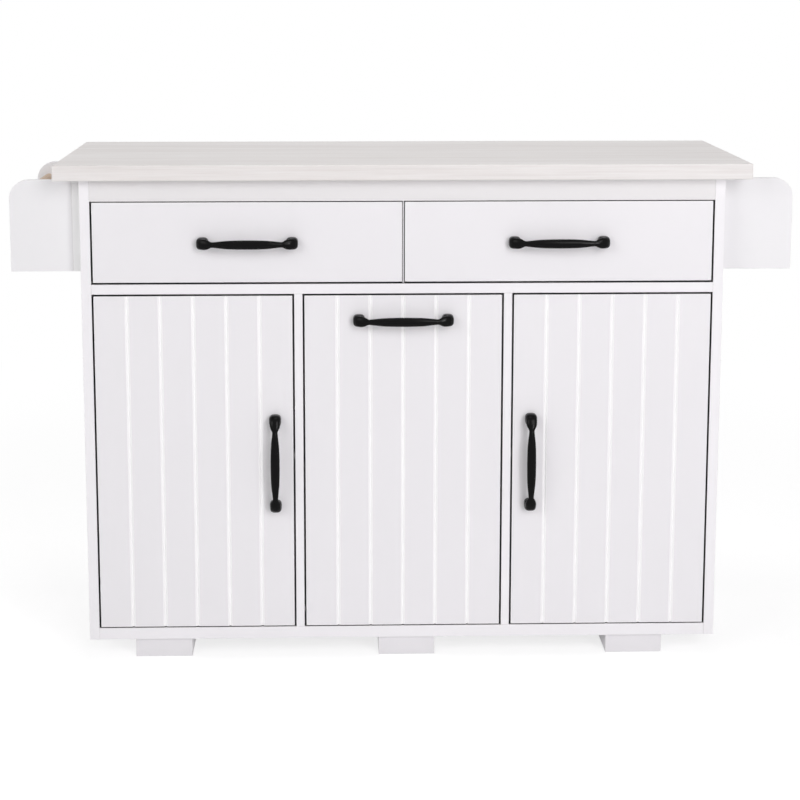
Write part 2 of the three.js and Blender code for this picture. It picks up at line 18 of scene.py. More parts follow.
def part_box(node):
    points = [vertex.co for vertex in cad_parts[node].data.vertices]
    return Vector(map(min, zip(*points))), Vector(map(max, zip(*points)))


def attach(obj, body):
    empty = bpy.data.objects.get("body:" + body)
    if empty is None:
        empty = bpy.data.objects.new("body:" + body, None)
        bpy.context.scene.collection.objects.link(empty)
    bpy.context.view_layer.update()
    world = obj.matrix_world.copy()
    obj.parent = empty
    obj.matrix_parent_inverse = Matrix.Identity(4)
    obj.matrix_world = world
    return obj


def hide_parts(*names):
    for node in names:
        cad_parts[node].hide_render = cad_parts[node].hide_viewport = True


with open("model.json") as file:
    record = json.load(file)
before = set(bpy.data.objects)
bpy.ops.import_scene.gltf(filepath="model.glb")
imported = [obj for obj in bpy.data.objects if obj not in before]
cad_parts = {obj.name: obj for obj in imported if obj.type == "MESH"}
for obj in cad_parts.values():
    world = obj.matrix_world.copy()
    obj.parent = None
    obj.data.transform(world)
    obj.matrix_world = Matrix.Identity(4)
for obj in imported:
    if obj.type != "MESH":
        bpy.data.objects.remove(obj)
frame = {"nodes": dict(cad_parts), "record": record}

MM = 0.001
scene = bpy.context.scene
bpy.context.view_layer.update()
bodies = frame["record"]["behaviour"]["bodies"]
body_of = {node: body for body, nodes in bodies.items() for node in nodes}

# %% [markdown]
# ## The camera
# The photograph looks straight at the front from a little left of the middle and from above
# the worktop. Its horizon lies over the top of the picture, because it was framed low.
# A tilted camera alone would pull the cabinet's sides together at the floor. A lens shift
# alone keeps them upright, but every other view keeps the shift too and would lose the top of
# the island. So a part of the framing is tilt and a part is shift.

# %% Camera
SENSOR, LENS = 36, 81.5  # mm
TILT_DOWN, TURN_RIGHT = 8.714, 1.44  # degrees
camera_data = bpy.data.cameras.new("photo_camera")
camera_data.sensor_width = SENSOR
camera_data.lens = LENS
camera_data.shift_x, camera_data.shift_y = 0.02, -0.19
camera = bpy.data.objects.new("photo_camera", camera_data)
camera.location = (-0.1156, -3.4244, 1.257)
camera.rotation_euler = [math.radians(angle) for angle in (90 - TILT_DOWN, 0, -TURN_RIGHT)]
scene.collection.objects.link(camera)
scene.camera = camera
scene.view_settings.view_transform = "Standard"
print("camera", round(math.degrees(2 * math.atan(SENSOR / 2 / LENS)), 1), "degrees wide")

# %% [markdown]
# ## Node helpers
# Shaders and geometry are both trees of nodes. `put` adds one node and sets its inputs, where
# a value that is itself a socket becomes a link. `made` returns the node's first result.
# `plus`, `times` and the like find their tree through the sockets they are given, so that a
# formula reads as it would on paper.
# `new_tree` starts a tree. An input's type follows from its first value: three numbers are a
# vector and four a colour. Types without a value go by their name.

# %% Helpers for trees of nodes
SOCKET_TYPES = {int: "NodeSocketInt", float: "NodeSocketFloat", 3: "NodeSocketVector",
                4: "NodeSocketColor"}


def put(tree, kind, inputs=None, **settings):
    node = tree.nodes.new(kind)
    for key, value in settings.items():
        setattr(node, key, value)
    for key, value in (inputs or {}).items():
        if isinstance(value, bpy.types.NodeSocket):
            tree.links.new(value, node.inputs[key])
        else:
            node.inputs[key].default_value = value
    return node


def made(tree, kind, inputs=None, **settings):
    return put(tree, kind, inputs, **settings).outputs[0]


def formula(operation, kind="ShaderNodeMath"):
    def applied(a, b):
        socket = a if isinstance(a, bpy.types.NodeSocket) else b
        return made(socket.id_data, kind, {0: a, 1: b}, operation=operation)
    return applied


plus, minus, times = formula("ADD"), formula("SUBTRACT"), formula("MULTIPLY")
over, larger = formula("DIVIDE"), formula("MAXIMUM")
vector_plus = formula("ADD", "ShaderNodeVectorMath")
vector_times = formula("MULTIPLY", "ShaderNodeVectorMath")


def blend_of(tree, factor, a, b, kind="MIX"):
    """Colours use the inputs 6 and 7 of this node, and its output 2."""
    node = put(tree, "ShaderNodeMix", {0: factor, 6: a, 7: b}, data_type="RGBA", blend_type=kind)
    return node.outputs[2]


def remap(tree, value, span, new_span=(0.0, 1.0)):
    return made(tree, "ShaderNodeMapRange", {
        "Value": value, "From Min": span[0], "From Max": span[1], "To Min": new_span[0],
        "To Max": new_span[1]})


def noise(tree, vector, scale, detail, roughness=0.5):
    """Soft random clouds. Most of their values lie between 0.3 and 0.7."""
    return made(tree, "ShaderNodeTexNoise", {
        "Vector": vector, "Scale": scale, "Detail": detail, "Roughness": roughness})


def object_place(tree):
    return put(tree, "ShaderNodeTexCoord").outputs["Object"]


def new_tree(kind, name, inputs, outputs):
    """A tree and the sockets that it is given."""
    tree = bpy.data.node_groups.new(name, kind)
    for side, sockets in (("INPUT", inputs), ("OUTPUT", outputs)):
        for label, value in sockets.items():
            key = len(value) if isinstance(value, tuple) else type(value)
            socket = tree.interface.new_socket(name=label, in_out=side,
                                               socket_type=SOCKET_TYPES.get(key, value))
            if key in SOCKET_TYPES:
                socket.default_value = value
    return tree, tree.nodes.new("NodeGroupInput").outputs


def hand_out(tree, **sockets):
    """The end of a tree. It also says how large the tree is."""
    result = tree.nodes.new("NodeGroupOutput").inputs
    for name, socket in sockets.items():
        tree.links.new(socket, result[name])
    print(tree.name, "has", len(tree.nodes), "nodes")


def grey(level):
    return (level, level, level, 1)


# %% [markdown]
# ## Light and floor
# A studio for a white object: a wide lamp at the upper right, a smaller one below it that throws
# the upright handles' shadows to the left, a wide one at the left, a weak one over the worktop,
# and two behind so that the leaf is lit as well. The world adds a plain glow.
# The floor and the world look white to the camera and in reflections, but light the object
# only as a pale floor would. Near the island the floor still takes a shadow.

# %% World
world = bpy.data.worlds.new("studio")
scene.world = world
world.use_nodes = True
sky = world.node_tree
sky.nodes.clear()


def seen_directly(tree):
    path = put(tree, "ShaderNodeLightPath").outputs
    shiny = larger(path["Is Glossy Ray"], path["Is Transmission Ray"])
    return larger(path["Is Camera Ray"], shiny)


GLOW = 0.31
glow = made(sky, "ShaderNodeBackground", {"Color": grey(1), "Strength": GLOW})
white = made(sky, "ShaderNodeBackground", {"Color": grey(1), "Strength": 1.0})
shown = made(sky, "ShaderNodeMixShader", {0: seen_directly(sky), 1: glow, 2: white})
put(sky, "ShaderNodeOutputWorld", {"Surface": shown})
print("world glow", GLOW)

# %% Lamps
AIM = Vector((0, 0, 0.45))
ROSE, CREAM, ICE, PLAIN = (1.0, 0.985, 1.0), (1.0, 1.0, 0.99), (0.985, 0.99, 1.0), (1, 1, 1)
LAMPS = {  # place, size in metres, watts and tint
    "key_right": ((1.9, -4.5, 2.9), 2.4, 80, ROSE),
    "side_right": ((2.3, -4.6, 1.1), 0.7, 40, ROSE),
    "fill_left": ((-3.3, -3.4, 2.6), 2.4, 56, CREAM),
    "over_top": ((0.0, 0.1, 3.4), 1.2, 19, ICE),
    "back_left": ((-2.6, 3.2, 0.45), 0.9, 40, PLAIN),
    "back_right": ((2.6, 3.2, 0.45), 0.9, 32, PLAIN),
}
for name, (place, size, watts, tint) in LAMPS.items():
    data = bpy.data.lights.new(name, "AREA")
    data.shape = "SQUARE"
    data.size, data.energy, data.color = size, watts, tint
    light = bpy.data.objects.new(name, data)
    light.location = place
    light.rotation_mode = "QUATERNION"
    light.rotation_quaternion = (AIM - light.location).to_track_quat("-Z", "Y")
    scene.collection.objects.link(light)
print(len(LAMPS), "lamps")

# %% Floor
FLOOR_HALF = 20.0
NEAR, FAR = 1.3, 2.6  # between them, from the middle, the shaded floor turns plain white
FLOOR_SHADE, FLOOR_LIFT, FLOOR_BOUNCE = 0.42, 0.72, 0.75
floor_mesh = bpy.data.meshes.new("floor")
floor_mesh.from_pydata([(x * FLOOR_HALF, y * FLOOR_HALF, 0)
                        for x, y in ((-1, -1), (1, -1), (1, 1), (-1, 1))], [], [(0, 1, 2, 3)])
floor = bpy.data.objects.new("floor", floor_mesh)
scene.collection.objects.link(floor)
floor_paint = bpy.data.materials.new("studio_floor")
floor_paint.use_nodes = True
tree = floor_paint.node_tree
tree.nodes.clear()
distance = put(tree, "ShaderNodeVectorMath", {0: object_place(tree)}, operation="LENGTH")
away = remap(tree, distance.outputs["Value"], (NEAR, FAR))
shade = made(tree, "ShaderNodeBsdfDiffuse", {"Color": grey(FLOOR_SHADE)})
lift = made(tree, "ShaderNodeEmission", {"Color": grey(1), "Strength": FLOOR_LIFT})
near = made(tree, "ShaderNodeAddShader", {0: shade, 1: lift})
far = made(tree, "ShaderNodeEmission", {"Color": grey(1), "Strength": 1.0})
look = made(tree, "ShaderNodeMixShader", {0: away, 1: near, 2: far})
bounce = made(tree, "ShaderNodeBsdfDiffuse", {"Color": grey(FLOOR_BOUNCE)})
either = made(tree, "ShaderNodeMixShader", {0: seen_directly(tree), 1: bounce, 2: look})
put(tree, "ShaderNodeOutputMaterial", {"Surface": either})
floor.data.materials.append(floor_paint)
print("floor", 2 * FLOOR_HALF, "m wide")

# %% [markdown]
# ## Effects that several finishes share
# Sprayed paint is never one flat colour: it is a touch lighter in places, has a fine orange
# peel, and thins where it runs over an edge. The boards carry an attribute named `edge`, which
# is 1 on their rounded edges, so the paint knows where it thins. Where the edge colour is
# brighter than the paint, as on the fronts, it is a painted highlight. In narrow gaps the
# colour is painted near black: painted shade, where an ambient occlusion node finds little room.
# Wood has two effects of its own: long streaks, and slow bands across them. Both come from
# noise that is squeezed across the grain.
# Groups hand out colours, roughness and height only. The shader stays in each material.

# %% Group: paint film
SURFACE = {"Colour": "NodeSocketColor", "Roughness": "NodeSocketFloat",
           "Height": "NodeSocketFloat"}


def edge_mask(tree):
    return put(tree, "ShaderNodeAttribute", attribute_name="edge").outputs["Fac"]


CLOUDS, WEAR, SMEARS, PEEL = 2.6, 38, 11, 420  # noise scales
# Painted shade in narrow gaps: how far the occlusion looks, where it starts and ends, and its
# near black
GAP_REACH, GAP_SAMPLES = 0.015, 16
GAP_SPAN = (0.16, 0.43)  # how open a place is where it is all gap, and where no longer
PAINTED_GAP_SHADE = (0.014, 0.013, 0.013, 1)
EDGE_WEAR_AND_HIGHLIGHT_MOST = 0.95
tree, given = new_tree("ShaderNodeTree", "paint_film", {
    "Colour": (0.8, 0.8, 0.8, 1), "Edge Colour": (0.7, 0.7, 0.7, 1), "Edge Cover": 0.15,
    "Gap Shade": 1.0, "Variation": 0.02, "Roughness": 0.45}, SURFACE)
spot = object_place(tree)
cloud = minus(noise(tree, spot, CLOUDS, 3.0), 0.5)
tone = plus(1.0, times(cloud, given["Variation"]))
tones = made(tree, "ShaderNodeCombineColor", {0: tone, 1: tone, 2: tone})
varied = blend_of(tree, 1.0, given["Colour"], tones, "MULTIPLY")
# Edges take the edge colour: thinned paint on most boards, a painted highlight on the fronts
worn = remap(tree, noise(tree, spot, WEAR, 3.0), (0.38, 0.62),
             (given["Edge Cover"], EDGE_WEAR_AND_HIGHLIGHT_MOST))
sprayed = blend_of(tree, times(edge_mask(tree), worn), varied, given["Edge Colour"])
# Painted shade: where the ambient occlusion node finds a narrow gap, the colour goes near black
openness = put(tree, "ShaderNodeAmbientOcclusion", {"Distance": GAP_REACH}, samples=GAP_SAMPLES)
shaded = times(remap(tree, openness.outputs["AO"], GAP_SPAN, (1.0, 0.0)), given["Gap Shade"])
smear = remap(tree, noise(tree, spot, SMEARS, 2.0), (0.3, 0.7), (-0.05, 0.05))
hand_out(tree, Colour=blend_of(tree, shaded, sprayed, PAINTED_GAP_SHADE),
         Roughness=plus(given["Roughness"], smear), Height=noise(tree, spot, PEEL, 1.0))
print("paint film: orange peel of", round(1000 / PEEL, 1), "mm")

# %% Group: wood grain
STREAKS, BANDS, PORES = 3.4, 0.42, 9.0
STREAK_SHARE, BAND_SHARE, PORE_DEPTH = 0.55, 0.45, 0.35
STREAK_DRY = 0.08  # a dark streak is this much rougher
tree, given = new_tree("ShaderNodeTree", "wood_grain", {
    "Pale": (0.8, 0.75, 0.7, 1), "Deep": (0.6, 0.5, 0.4, 1), "Stretch": (1, 60, 60),
    "Streaks": 0.5, "Roughness": 0.55}, SURFACE)
along = vector_times(object_place(tree), given["Stretch"])
fine = remap(tree, noise(tree, along, STREAKS, 5.0, 0.62), (0.34, 0.66))
bands = remap(tree, noise(tree, along, BANDS, 3.0), (0.36, 0.64))
both = plus(times(fine, STREAK_SHARE), times(bands, BAND_SHARE))
bare = blend_of(tree, times(both, given["Streaks"]), given["Pale"], given["Deep"])
pores = remap(tree, noise(tree, along, PORES, 2.0), (0.66, 0.74), (0.0, PORE_DEPTH))
dotted = blend_of(tree, times(pores, given["Streaks"]), bare, given["Deep"])
hand_out(tree, Colour=dotted, Height=minus(both, pores),
         Roughness=plus(given["Roughness"], times(fine, STREAK_DRY)))

# %% Group: metal skin
RUBS, RUB_MOST, EDGE_MOST = 46, 0.6, 0.7
tree, given = new_tree("ShaderNodeTree", "metal_skin", {
    "Colour": (0.5, 0.5, 0.5, 1), "Worn Colour": (0.6, 0.6, 0.6, 1), "Stretch": (1, 1, 1),
    "Scale": 200.0, "Roughness": 0.4}, SURFACE)
spot = object_place(tree)
along = vector_times(spot, given["Stretch"])
speck = noise(tree, along, given["Scale"], 3.0, 0.6)
rub = remap(tree, noise(tree, spot, RUBS, 2.0), (0.45, 0.8), (0.0, RUB_MOST))
worn = larger(rub, times(edge_mask(tree), EDGE_MOST))
uneven = remap(tree, speck, (0.3, 0.7), (-0.05, 0.07))
hand_out(tree, Colour=blend_of(tree, worn, given["Colour"], given["Worn Colour"]),
         Roughness=plus(given["Roughness"], uneven), Height=speck)

# %% [markdown]
# ## The finishes
# Each finish takes one of the groups and gives it its own values. A bump node turns the
# group's height into a normal. Its distance is a real depth in metres: a twentieth of a
# millimetre for orange peel, a tenth for open grain.

# %% Materials
def finish_of(name, effect_name, values, bump=0.3, depth=0.00005, **shader_values):
    material = bpy.data.materials.new(name)
    material.use_nodes = True
    tree = material.node_tree
    shader = tree.nodes["Principled BSDF"]
    effect = put(tree, "ShaderNodeGroup", node_tree=bpy.data.node_groups[effect_name])
    for key, value in values.items():
        effect.inputs[key.replace("_", " ")].default_value = value
    relief = made(tree, "ShaderNodeBump", {"Height": effect.outputs["Height"],
                                           "Strength": bump, "Distance": depth})
    for key, socket in (("Base Color", effect.outputs["Colour"]),
                        ("Roughness", effect.outputs["Roughness"]), ("Normal", relief)):
        tree.links.new(socket, shader.inputs[key])
    for key, value in shader_values.items():
        shader.inputs[key.replace("_", " ")].default_value = value
    return material


def shade_of(red, green, blue):
    """A colour as a picture shows it, 0 to 255, turned into the linear values of a shader."""
    return [*(((c / 255 + 0.055) / 1.055) ** 2.4 for c in (red, green, blue)), 1.0]


def paint_of(name, colour, edge=(238, 235, 236), **values):
    values = {"Variation": 0.02, "Roughness": 0.42} | values
    return finish_of(name, "paint_film", {"Colour": shade_of(*colour),
                                          "Edge Colour": shade_of(*edge)} | values)


cabinet_paint = paint_of("cabinet_paint", (246, 244, 247))
# Painted shade: the rail's paint is a darker copy of the cabinet's, for the shade under the
# worktop
shaded_rail_paint = paint_of("shaded_rail_paint", (232, 230, 231))
# Painted shade: the feet's paint and edges are a darker copy of the cabinet's, for the shade
# below it
shaded_foot_paint = paint_of("shaded_foot_paint", (235, 233, 236), (228, 225, 224), Gap_Shade=0.3)
# Painted shade: the fronts' paint is a darker copy of the cabinet's; their bright edge is a
# painted highlight
front_shade_highlight_paint = paint_of("front_shade_highlight_paint", (240, 238, 241), (255, 254, 255), Edge_Cover=0.85)
rack_paint = paint_of("rack_paint", (239, 238, 240), Roughness=0.46, Gap_Shade=0.0)
# Painted light: the towel rack's board is painted lighter than the rack to lift the shade beside
# the cabinet
lit_board_paint = paint_of("lit_board_paint", (253, 253, 253), Roughness=0.46, Gap_Shade=0.0)
inside_paint = paint_of("inside_paint", (228, 226, 225), (214, 208, 202), Variation=0.04,
                        Roughness=0.55)
moulded_white = paint_of("moulded_white", (246, 246, 245), Variation=0.01, Roughness=0.35,
                         Gap_Shade=0.0)
washed_wood = finish_of("washed_wood", "wood_grain", {
    "Pale": shade_of(240, 237, 236), "Deep": shade_of(217, 210, 207),
    "Stretch": (1.6, 60, 66), "Streaks": 0.64, "Roughness": 0.5}, bump=0.5, depth=0.00012)
bar_wood = finish_of("bar_wood", "wood_grain", {
    "Pale": shade_of(206, 182, 160), "Deep": shade_of(166, 136, 110),
    "Stretch": (130, 3, 130), "Streaks": 0.8, "Roughness": 0.5}, bump=0.5, depth=0.0001)
cast_black = finish_of("cast_black", "metal_skin", {
    "Colour": shade_of(7, 6, 7), "Worn Colour": shade_of(14, 13, 13),
    "Scale": 620.0, "Roughness": 0.16}, bump=0.12, depth=0.00003, Specular_IOR_Level=0.1)
zinc_steel = finish_of("zinc_steel", "metal_skin", {
    "Colour": shade_of(160, 162, 164), "Worn Colour": shade_of(182, 183, 183),
    "Stretch": (0.08, 1, 1), "Scale": 900.0, "Roughness": 0.46}, bump=0.15, Metallic=1.0)
print("eight paints, two woods, two metals")

# %% [markdown]
# ## Boards with softened edges
# A CAD board has edges as sharp as a knife. A real one is sanded before it is painted, and the
# thin line of light on its rounded edge is what makes it look like a board.
# The CAD mesh itself stays as it is. A copy of it is merged, its coplanar triangles are
# dissolved, and its sharp edges are bevelled. Bevelling a copy keeps every size, which
# rebuilding each board by hand would not. The new faces are marked with the `edge` attribute.

# %% Softened copies of CAD nodes
SHARP, FLAT = math.radians(28), math.radians(0.5)
WELD = 0.01 * MM


def tidy(mesh):
    """A bmesh of a mesh, with shared points and without lines across flat faces."""
    solid = bmesh.new()
    solid.from_mesh(mesh)
    bmesh.ops.remove_doubles(solid, verts=solid.verts, dist=WELD)
    bmesh.ops.dissolve_limit(solid, angle_limit=FLAT, verts=solid.verts, edges=solid.edges)
    return solid


def soften(solid, radius, segments=2):
    """Every sharp edge rounded by a radius in mm."""
    sharp = [e for e in solid.edges if e.is_manifold and e.calc_face_angle() > SHARP]
    edge = solid.faces.layers.float.new("edge")
    rounded = bmesh.ops.bevel(solid, geom=sharp, offset=radius * MM, offset_type="OFFSET",
                              segments=segments, profile=0.5, affect="EDGES", clamp_overlap=True)
    for face in rounded["faces"]:
        face[edge] = 1.0
    return solid


def mesh_of(solid):
    mesh = bpy.data.meshes.new("shape")
    solid.to_mesh(mesh)
    solid.free()
    return mesh


def add_piece(name, shape, body, material, replaces=()):
    """A finished piece from a bmesh or a mesh: named, painted, riding on its body."""
    mesh = mesh_of(shape) if isinstance(shape, bmesh.types.BMesh) else shape
    mesh.name = name
    mesh.materials.clear()
    mesh.materials.append(material)
    piece = bpy.data.objects.new(name, mesh)
    scene.collection.objects.link(piece)
    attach(piece, body)
    if replaces:
        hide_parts(*replaces)


def dress(manner, node, shape, material):
    """A piece that is seen in place of one CAD node."""
    add_piece(f"{manner}_{node}", shape, body_of[node], material, [node])


def soft_board(node, radius, material, segments=2):
    solid = soften(tidy(frame["nodes"][node].data), radius, segments)
    dress("soft", node, solid, material)


# %% Cabinet boards
PANEL_ROUND = 0.5
carcass = {
    cabinet_paint: ["side_panel_left", "side_panel_right", "divider_left", "divider_right",
                    "bottom_panel", "drawer_deck"],
    shaded_rail_paint: ["top_rail_front"],
    shaded_foot_paint: ["foot_left", "foot_centre", "foot_right"],
    inside_paint: ["back_panel", "drawer_divider", "shelf_left", "shelf_right"],
}
for paint, boards in carcass.items():
    for board in boards:
        soft_board(board, PANEL_ROUND, paint)
print(sum(map(len, carcass.values())), "cabinet boards softened by", PANEL_ROUND, "mm")

# %% [markdown]
# The gap between the two drawer fronts isn't dark like the others: something white stands a few
# millimetres behind it. That is a strip on the divider's front edge, a little narrower than the
# gap. It belongs to the cabinet, so it stays when a drawer comes out.

# %% Strip in the drawers' centre gap
STRIP_HALF, STRIP_BACK, STRIP_SHORT, STRIP_ROUND = 1.5 * MM, 5.0 * MM, 0.5 * MM, 0.3


def plain_bar(low, high, radius, segments=2):
    """A bar between two corners with its edges softened."""
    solid = bmesh.new()
    size = Matrix.Diagonal((*(high - low), 1))
    bmesh.ops.create_cube(solid, size=1, matrix=Matrix.Translation((low + high) / 2) @ size)
    return soften(solid, radius, segments)


front_low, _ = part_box("left_drawer_front")
low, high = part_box("drawer_divider")
strip = plain_bar(Vector((-STRIP_HALF, front_low.y + STRIP_BACK, low.z + STRIP_SHORT)),
                  Vector((STRIP_HALF, low.y, high.z - STRIP_SHORT)), STRIP_ROUND)
add_piece("gap_strip", strip, "cabinet", cabinet_paint)
print("strip", round(2 * STRIP_HALF / MM, 1), "mm wide,", STRIP_BACK / MM, "mm behind the fronts")

# %% Drawers and the bin's carrier
FRONT_ROUND, BOX_ROUND, BOTTOM_ROUND, CARRIER_ROUND = 1.0, 0.8, 0.3, 0.6
EASE = 0.4 * MM  # sanded off each side of a front, so that its gap reads as wide as it is
RAISED = 1.2 * MM  # the gap over the drawers is the finest one
for side in ("left", "right"):
    low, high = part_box(f"{side}_drawer_front")
    drawer_front = plain_bar(low + Vector((EASE, 0, EASE)), high + Vector((-EASE, 0, RAISED)),
                             FRONT_ROUND, segments=3)
    dress("soft", f"{side}_drawer_front", drawer_front, front_shade_highlight_paint)
    soft_board(f"{side}_drawer_box", BOX_ROUND, inside_paint)
    soft_board(f"{side}_drawer_bottom", BOTTOM_ROUND, inside_paint)
soft_board("bin_carrier", CARRIER_ROUND, inside_paint)
print("drawer boxes softened by", BOX_ROUND, "mm, the carrier by", CARRIER_ROUND, "mm")

# %% Worktop and leaf
TOP_ROUND = 2.0
for board in ("worktop", "drop_leaf"):
    dress("soft", board, plain_bar(*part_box(board), TOP_ROUND, segments=5), washed_wood)
print("worktop and leaf rounded by", TOP_ROUND, "mm")

# %% [markdown]
# ## Grooved fronts
# The doors and the bin's front are single boards with V-grooves that make them look like six
# planks each. The grooves repeat by a rule, so Geometry Nodes cut them: one cutter, a four-sided
# prism on its edge, is placed on a line of points, and a Boolean takes it from a plain slab.
# The same tree bores the round holes for the hinge cups. With the count of planks or the
# groove's width as an input, another front is only another set of numbers.

# %% Helpers for trees of shapes
GEOMETRY = {"Geometry": "NodeSocketGeometry"}
QUARTER = math.pi / 2


def shape_tree(name, inputs):
    inputs = GEOMETRY | inputs | {"Material": "NodeSocketMaterial"}
    return new_tree("GeometryNodeTree", name, inputs, GEOMETRY)


def xyz(tree, x=0.0, y=0.0, z=0.0):
    return made(tree, "ShaderNodeCombineXYZ", {0: x, 1: y, 2: z})


def parts_of(tree, vector):
    return put(tree, "ShaderNodeSeparateXYZ", {0: vector}).outputs


def block(tree, size):
    return made(tree, "GeometryNodeMeshCube", {"Size": size})


def rod(tree, sides, radius, length):
    return made(tree, "GeometryNodeMeshCylinder", {
        "Vertices": sides, "Radius": radius, "Depth": length})


def moved(tree, shape, place=(0, 0, 0), turn=(0, 0, 0)):
    return made(tree, "GeometryNodeTransform", {
        "Geometry": shape, "Translation": place, "Rotation": turn})


def realized(tree, shape):
    return made(tree, "GeometryNodeRealizeInstances", {"Geometry": shape})


def instances(tree, points, shape, turn=(0, 0, 0), size=(1, 1, 1)):
    return realized(tree, made(tree, "GeometryNodeInstanceOnPoints", {
        "Points": points, "Instance": shape, "Rotation": turn, "Scale": size}))


def row_of(tree, shape, count, start, step, **turn_or_size):
    line = made(tree, "GeometryNodeMeshLine", {"Count": count, "Start Location": start,
                                               "Offset": step}, mode="OFFSET")
    return instances(tree, line, shape, **turn_or_size)


def boolean(tree, operation, shapes, base=None, crossing=False):
    """Closed shapes joined, or cut out of a base."""
    node = put(tree, "GeometryNodeMeshBoolean", {"Self Intersection": crossing},
               operation=operation, solver="EXACT")
    if base is not None:
        tree.links.new(base, node.inputs[0])
    for shape in shapes:
        tree.links.new(shape, node.inputs["Mesh 2"])
    return node.outputs[0]


def painted(tree, given, shape):
    """The end of each tree of shapes: real geometry in the piece's own material."""
    coat = made(tree, "GeometryNodeSetMaterial", {
        "Geometry": realized(tree, shape), "Material": given["Material"]})
    hand_out(tree, Geometry=coat)


# %% Tree: grooved front
CUTTER_LONG = 1.1  # as a share of the slab's height
CUP_SIDES = 48
tree, given = shape_tree("grooved_front", {
    "Corner": (0, 0, 0), "Size": (1, 1, 1), "Planks": 6, "Groove Width": 0.005,
    "Groove Depth": 0.0024, "Bores": 0, "First Bore": (0, 0, 0), "Bore Step": 0.4,
    "Bore Radius": 0.0178, "Bore Depth": 0.011})
size, corner = parts_of(tree, given["Size"]), parts_of(tree, given["Corner"])
half = vector_times(given["Size"], (0.5, 0.5, 0.5))
slab = moved(tree, block(tree, given["Size"]), vector_plus(given["Corner"], half))
plank = over(size["X"], given["Planks"])
first = xyz(tree, plus(corner["X"], plank), corner["Y"],
            plus(corner["Z"], times(size["Z"], 0.5)))
prism = rod(tree, 4, 1.0, times(size["Z"], CUTTER_LONG))
widths = xyz(tree, times(given["Groove Width"], 0.5), given["Groove Depth"], 1.0)
grooves = row_of(tree, prism, minus(given["Planks"], 1.0), first, xyz(tree, plank),
                 size=widths)
bore = rod(tree, CUP_SIDES, given["Bore Radius"], times(given["Bore Depth"], 2.0))
holes = row_of(tree, bore, given["Bores"], given["First Bore"],
               xyz(tree, z=given["Bore Step"]), turn=(QUARTER, 0, 0))
painted(tree, given, boolean(tree, "DIFFERENCE", [grooves, holes], slab))

# %% [markdown]
# A modifier runs the tree on an object, and its inputs are set by each socket's identifier.
# The evaluated object is then made a plain mesh, which is what an export can read, and the
# modifier goes away with the helper object.

# %% Run a tree and keep its mesh
def grown(name, inputs, mesh=None):
    tree = bpy.data.node_groups[name]
    host = bpy.data.objects.new("host", mesh or bpy.data.meshes.new("host"))
    scene.collection.objects.link(host)
    modifier = host.modifiers.new("tree", "NODES")
    modifier.node_group = tree
    for item in tree.interface.items_tree:
        if item.in_out == "INPUT" and item.name in inputs:
            modifier[item.identifier] = inputs[item.name]
    host.update_tag()
    bpy.context.view_layer.update()
    ready = host.evaluated_get(bpy.context.evaluated_depsgraph_get())
    shape = bpy.data.meshes.new_from_object(ready)
    bpy.data.objects.remove(host)
    return shape


def face_middle(low, high, y):
    """The middle of a box seen from the front, at a depth of its own."""
    return Vector(((low.x + high.x) / 2, y, (low.z + high.z) / 2))


# %% Doors and the bin's front
GROOVE = {"Planks": 6, "Groove Width": 6 * MM, "Groove Depth": 2.4 * MM}
GROOVE_SLOPE = 0.2  # a face that leans more than this, both ways, is the side of a groove
CUP_RADIUS, CUP_DEPTH, CLEAR = 17.5 * MM, 11 * MM, 0.3 * MM
PLANK_ROUND = 0.9
SILL_LAP = 1.2 * MM  # the photograph's gap is finer below the doors than beside them
for node in ("left_door", "right_door", "bin_front"):
    low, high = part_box(node)
    low += Vector((EASE, 0, -SILL_LAP))
    high -= Vector((EASE, 0, EASE))
    values = GROOVE | {"Corner": low, "Size": high - low, "Material": front_shade_highlight_paint}
    if node != "bin_front":
        cup_low, cup_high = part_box(f"{node}_hinge_cup_lower")
        upper_low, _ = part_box(f"{node}_hinge_cup_upper")
        values |= {"Bores": 2, "Bore Radius": CUP_RADIUS + CLEAR, "Bore Depth": CUP_DEPTH + CLEAR,
                   "First Bore": face_middle(cup_low, cup_high, high.y),
                   "Bore Step": upper_low.z - cup_low.z}
    solid = soften(tidy(grown("grooved_front", values)), PLANK_ROUND, segments=3)
    # The sides of the grooves take the front paint's bright edge colour: a painted highlight in
    # each groove
    edge = solid.faces.layers.float["edge"]
    for face in solid.faces:
        if min(abs(face.normal.x), abs(face.normal.y)) > GROOVE_SLOPE:
            face[edge] = 1.0
    dress("soft", node, solid, front_shade_highlight_paint)
print("three fronts of", GROOVE["Planks"], "planks")

# %% [markdown]
# ## The cast pulls
# Five black bow pulls, cast in one piece: a drum-shaped foot at each end, a thin neck that
# springs from it, and a grip that is fullest in its middle. Subdivision of a few boxes would
# make it soft all over. A loft keeps the drums crisp: a section travels along a path through
# a list of stations, each with its place and its two half widths.

# %% Loft one pull
RING_SIDES = 40
STEPS = 8  # rings between two stations
CREASE = math.radians(50)
PULL_HALF = 80.0  # mm between a pull's middle and each of its screws
HALF_PULL = [  # in from the screw, out, half across and half thick in mm, and squareness
    (0, 0, 10.0, 10.0, 2.9), (0, 0.9, 10.8, 10.8, 2.9), (0, 6, 10.9, 10.9, 2.9),
    (0, 11, 10.8, 10.8, 2.9), (0.3, 13.2, 10.3, 9.9, 2.8), (1.6, 15.8, 9.9, 8.3, 2.7),
    (5.0, 18.8, 9.7, 6.6, 2.5), (9.5, 21.4, 8.6, 5.2, 2.3), (13.5, 23.2, 6.6, 4.2, 2.0),
    (17.5, 24.1, 5.0, 3.7, 2.0), (25, 24.7, 5.5, 4.3, 2.0), (46.4, 25.6, 7.6, 5.6, 2.0),
    (PULL_HALF, 25.8, 8.3, 6.2, 2.0)]


